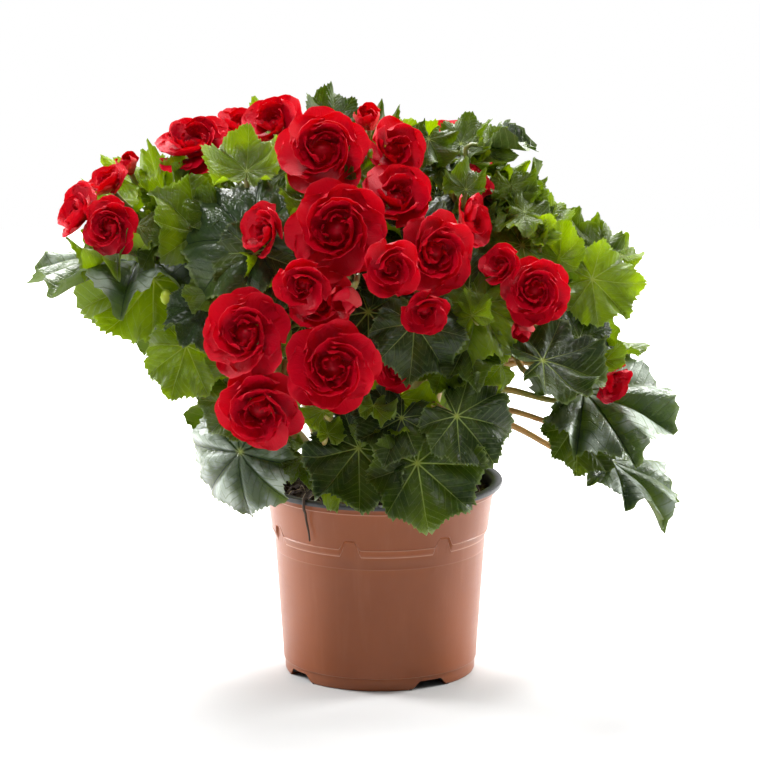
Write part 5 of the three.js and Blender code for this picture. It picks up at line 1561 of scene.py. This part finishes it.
def bloom_nodes():
    n = Nodes(bpy.data.materials.new('begonia_petal'))
    across, along, edge = n.attribute('petal')
    tint, depth, under = n.attribute('tone')
    here = n.place()
    streak_place = n.make('CombineXYZ', {'X': n.times(across, 9.0),
                                         'Y': n.times(along, 1.6), 'Z': tint}).outputs[0]
    streaks = n.noise(streak_place, 3.0, 4.0, 0.6)
    clouds = n.noise(here, 70.0, 3.0)
    # Darker toward the petal's root: painted shade in the heart of the bloom.
    red = n.mix(n.step(along, 0.0, 0.45), (0.24, 0.0, 0.006), (0.66, 0.0, 0.018))
    red = n.mix(n.times(n.step(streaks, 0.35, 0.75), 0.5), red, (0.86, 0.0, 0.034))
    red = n.mix(n.times(clouds, 0.3), red, (0.46, 0.0, 0.016))
    # A paler, pinker rim near the petal's end: partly its own colour, partly a painted highlight on
    # the frilled edge.
    rim = n.times(n.step(edge, 0.9, 1.0), n.step(along, 0.55, 0.98))
    red = n.mix(n.times(rim, 0.15), red, (0.92, 0.05, 0.06))
    # Undersides of the outer petals are pinker: partly their own colour, partly a painted sheen.
    pink = n.mix(n.times(streaks, 0.6), (0.62, 0.03, 0.035), (0.80, 0.16, 0.15))
    outer = n.times(under, n.step(depth, 0.0, 0.35, 0.8, 0.0))
    colour = n.mix(outer, red, pink)
    grain = n.noise(here, 1500.0, 2.0)
    relief = n.plus(n.times(streaks, 0.7), n.times(grain, 0.2))
    normal = n.bump(relief, 0.0006)
    rough = n.scaled(grain, 0.3, 0.30)
    surface = n.principled(Base_Color=colour, Roughness=rough, Normal=normal,
                           Specular_IOR_Level=0.22)
    glow = n.mix(clouds, (0.80, 0.0, 0.006), (0.95, 0.01, 0.02))
    return n.finish(n.translucent(0.32, surface, glow, normal))


def stem_nodes():
    n = Nodes(bpy.data.materials.new('begonia_stem'))
    kind = n.attribute('stem')[2]
    _, flesh, hair = n.attribute('tone')
    here = n.place()
    clouds = n.noise(n.place((1, 1, 0.35)), 90.0, 4.0)
    green = n.mix(clouds, (0.16, 0.22, 0.035), (0.34, 0.36, 0.07))
    pinkish = n.mix(clouds, (0.50, 0.20, 0.09), (0.62, 0.36, 0.14))
    young = n.step(n.make('SeparateXYZ', {'Vector': here}).outputs[2], 0.17, 0.24)
    green = n.mix(n.times(young, 0.7), green, (0.07, 0.12, 0.015))
    blush = n.step(n.plus(clouds, n.times(flesh, 0.45)), 0.45, 0.95)
    blush = n.times(blush, n.scaled(young, -0.55, 0.85))
    colour = n.mix(blush, green, pinkish)
    streaks = n.noise(n.place((1, 1, 0.08)), 700.0, 2.0)
    colour = n.mix(n.times(streaks, 0.25), colour, (0.42, 0.42, 0.12))
    colour = n.mix(n.times(hair, 0.8), colour, (0.62, 0.58, 0.42))
    colour = n.mix(n.step(kind, 4.0, 4.5), colour, (0.42, 0.52, 0.04))
    relief = n.plus(streaks, n.times(n.noise(here, 380.0, 3.0), 0.8))
    normal = n.bump(relief, 0.0002)
    surface = n.principled(Base_Color=colour, Roughness=n.scaled(clouds, 0.2, 0.32),
                           Normal=normal, Subsurface_Weight=0.22,
                           Subsurface_Radius=(0.004, 0.0025, 0.001), Subsurface_Scale=1.0)
    return n.finish(surface)


def root_nodes():
    n = Nodes(bpy.data.materials.new('peat_fibre'))
    tint = n.attribute('tone')[0]
    clouds = n.noise(n.place(), 420.0, 3.0)
    dark = n.mix(clouds, (0.022, 0.012, 0.006), (0.075, 0.042, 0.022))
    pale = n.mix(clouds, (0.30, 0.20, 0.10), (0.55, 0.44, 0.28))
    colour = n.mix(n.step(tint, 0.45, 1.0), dark, pale)
    normal = n.bump(n.noise(n.place(), 1400.0, 2.0), 0.0002)
    return n.finish(n.principled(Base_Color=colour, Roughness=0.75, Normal=normal))


def soil_nodes():
    n = Nodes(bpy.data.materials.new('peat'))
    here = n.place()
    coarse = n.noise(here, 130.0, 5.0, 0.65)
    fine = n.noise(here, 900.0, 4.0, 0.7)
    colour = n.mix(coarse, (0.008, 0.005, 0.003), (0.052, 0.028, 0.015))
    colour = n.mix(n.step(fine, 0.55, 0.8), colour, (0.11, 0.066, 0.036))
    specks = n.make('TexVoronoi', {'Vector': here, 'Scale': 420.0}).outputs['Distance']
    colour = n.mix(n.times(n.rest(n.step(specks, 0.05, 0.18)), 0.4), colour,
                   (0.20, 0.13, 0.075))
    relief = n.plus(coarse, n.times(fine, 0.8))
    normal = n.bump(relief, 0.0012)
    return n.finish(n.principled(Base_Color=colour, Roughness=n.step(coarse, 0.3, 0.8, 0.95, 0.6),
                                 Normal=normal, Specular_IOR_Level=0.35))


def pot_nodes():
    n = Nodes(bpy.data.materials.new('terracotta_plastic'))
    here = n.place()
    clouds = n.noise(here, 22.0, 3.0)
    fine = n.noise(here, 1500.0, 2.0)
    flow = n.noise(n.place((1, 1, 0.12)), 160.0, 3.0)
    colour = n.mix(clouds, (0.235, 0.058, 0.014), (0.30, 0.080, 0.022))
    colour = n.mix(n.times(n.step(flow, 0.5, 0.8), 0.15), colour, (0.42, 0.16, 0.08))
    scuffs = n.noise(n.place((1, 1, 3)), 75.0, 5.0, 0.7)
    colour = n.mix(n.times(n.step(scuffs, 0.62, 0.78), 0.3), colour, (0.18, 0.06, 0.03))
    height = n.make('SeparateXYZ', {'Vector': here}).outputs[2]
    # Paler toward the foot: painted light, standing for the bounce from the pale floor.
    dust_and_bounce_light = n.step(height, 0.0, 0.012, 0.35, 0.0)
    colour = n.mix(n.times(dust_and_bounce_light, clouds), colour, (0.24, 0.12, 0.07))
    # The raised lines at the foot, the step and the strip are painted paler: a painted highlight where
    # their edges catch the light.
    line = n.attribute('line')[0]
    colour = n.mix(n.times(line, 0.5), colour, (0.62, 0.34, 0.24))
    rough = n.plus(n.scaled(fine, 0.10, 0.24), n.times(scuffs, 0.12))
    relief = n.plus(n.times(fine, 0.35), n.times(flow, 0.5))
    normal = n.bump(relief, 0.0001)
    return n.finish(n.principled(Base_Color=colour, Roughness=rough, Normal=normal,
                                 Specular_IOR_Level=0.38))


def lining_nodes():
    n = Nodes(bpy.data.materials.new('black_plastic'))
    here = n.place()
    fine = n.noise(here, 1200.0, 2.0)
    dust_and_bounce_light = n.noise(here, 120.0, 5.0, 0.65)
    colour = n.mix(n.times(n.step(dust_and_bounce_light, 0.5, 0.8), 0.5), (0.018, 0.019, 0.020),
                   (0.075, 0.062, 0.05))
    rough = n.scaled(dust_and_bounce_light, 0.3, 0.25)
    normal = n.bump(fine, 0.00012)
    return n.finish(n.principled(Base_Color=colour, Roughness=rough, Normal=normal))


# ------------------------------------------------------------------------------------------
# Floor, light and camera
# ------------------------------------------------------------------------------------------
WORLD_FRONT, WORLD_BACK = 0.05, 0.4
WORLD_GLOSS = 2.4                 # the bright wall behind, as the glossy leaves mirror it
# Soft boxes, in metres and watts: place, width, height and power.
LAMPS = [
    [(-1.3, 0.5, 0.75), 0.5, 0.8, 36],
    [(1.3, 0.5, 0.75), 0.5, 0.8, 36],
    [(0.0, 0.9, 1.3), 1.0, 0.6, 62],
    [(-0.35, -0.75, 1.5), 0.35, 0.35, 12],
]
LAMP_TARGET = (0, 0, 0.2)
FLOOR_HALF = 1.3
CAMERA_DISTANCE = 2.4
CAMERA_ELEVATION = 12.2
CAMERA_TARGET = (0, 0, 0.1565)
CAMERA_LENS = 215.3
CAMERA_SENSOR = 36


def make_floor():
    n = Nodes(bpy.data.materials.new('pale_floor'))
    place = n.place()
    away = n.make('VectorMath', {0: place}, operation='LENGTH').outputs['Value']
    spread = n.plus(n.step(away, 0.12, 0.75), n.times(n.noise(place, 3.0, 2.0), 0.05))
    colour = n.mix(spread, (0.56, 0.56, 0.56), (0.96, 0.96, 0.96))
    surface = n.principled(Base_Color=colour, Roughness=0.9, Specular_IOR_Level=0.1)
    material = n.finish(surface)
    mesh = bpy.data.meshes.new('floor')
    corners = [(x * FLOOR_HALF, y * FLOOR_HALF, 0) for x, y in ((-1, -1), (1, -1), (1, 1), (-1, 1))]
    mesh.from_pydata(corners, [], [(0, 1, 2, 3)])
    mesh.materials.append(material)
    floor = add_object('floor', mesh)


def make_world():
    """White seen directly; as light, dim in front and bright above and behind."""
    n = Nodes(bpy.data.worlds.new('studio'))
    bpy.context.scene.world = n.owner
    direction = n.make('TexCoord').outputs['Generated']
    parts = n.make('SeparateXYZ', {'Vector': direction})
    behind = n.step(parts.outputs[1], -0.45, 0.45)
    above = n.step(parts.outputs[2], 0.3, 0.85)
    light = n.step(n.math('MAXIMUM', behind, above), 0.0, 1.0, WORLD_FRONT, WORLD_BACK)
    rays = n.make('LightPath').outputs
    gloss = n.times(n.step(parts.outputs[1], 0.1, 0.6), n.step(parts.outputs[2], 0.1, 0.5))
    gloss = n.times(n.times(gloss, WORLD_GLOSS), rays['Is Glossy Ray'])
    light = n.plus(light, gloss)
    strength = n.scaled(rays['Is Camera Ray'], n.rest(light), light)
    background = n.make('Background', {'Color': (1.0, 1.0, 1.0), 'Strength': strength})
    n.make('OutputWorld', {'Surface': background.outputs[0]})


def make_lamps():
    for k, (place, width, height, power) in enumerate(LAMPS):
        light = bpy.data.lights.new(f'softbox_{k + 1}', 'AREA')
        light.shape = 'RECTANGLE'
        light.size, light.size_y, light.energy = width, height, power
        aim(add_object(f'softbox_{k + 1}', light), place, LAMP_TARGET)


def aim(thing, place, target):
    """Puts a lamp or camera in place, looking at a target with its top upward."""
    thing.location = place
    look = Vector(target) - Vector(place)
    thing.rotation_euler = look.to_track_quat('-Z', 'Y').to_euler()


def make_camera():
    e = math.radians(CAMERA_ELEVATION)
    x, y, z = CAMERA_TARGET
    place = (x, y - CAMERA_DISTANCE * math.cos(e), z + CAMERA_DISTANCE * math.sin(e))
    data = bpy.data.cameras.new('camera')
    data.sensor_width = CAMERA_SENSOR
    data.lens = CAMERA_LENS
    camera = add_object('camera', data)
    aim(camera, place, CAMERA_TARGET)
    bpy.context.scene.camera = camera


# ------------------------------------------------------------------------------------------
# The scene
# ------------------------------------------------------------------------------------------
BALL = ball()
leaf_material = leaf_nodes()
bloom_material = bloom_nodes()
stem_material = stem_nodes()
root_material = root_nodes()
soil_material = soil_nodes()
pot_material = pot_nodes()
lining_material = lining_nodes()

stems = {name: Stem(name, foot, tip) for name, foot, tip in STEMS}
for index, row in enumerate(bloom_rows()):
    grow_bloom(stems, row, index)
solid_rows = leaf_rows()
for index, row in enumerate(solid_rows):
    grow_leaf(stems, row, index, False)
for index, row in enumerate(SMALL_LEAVES + filler_rows()):
    grow_leaf(stems, row, len(solid_rows) + index, True)
for name, middle, radius in PODS:
    grow_pod(stems, name, middle, radius)
for stem in stems.values():
    wood = Shape('stem', 'tone')
    add_stem(wood, stem)
    make_piece(f'{stem.node}_stalks', wood, stem_material, stem.node)
    blades = Shape('leaf', 'tone')
    for leaf in stem.leaves:
        add_blade(blades, leaf)
    make_piece(f'{stem.node}_leaves', blades, leaf_material, stem.node)
make_pot()
make_soil()
make_roots()
make_floor()
make_world()
make_lamps()
make_camera()
bpy.context.scene.view_settings.view_transform = 'Standard'
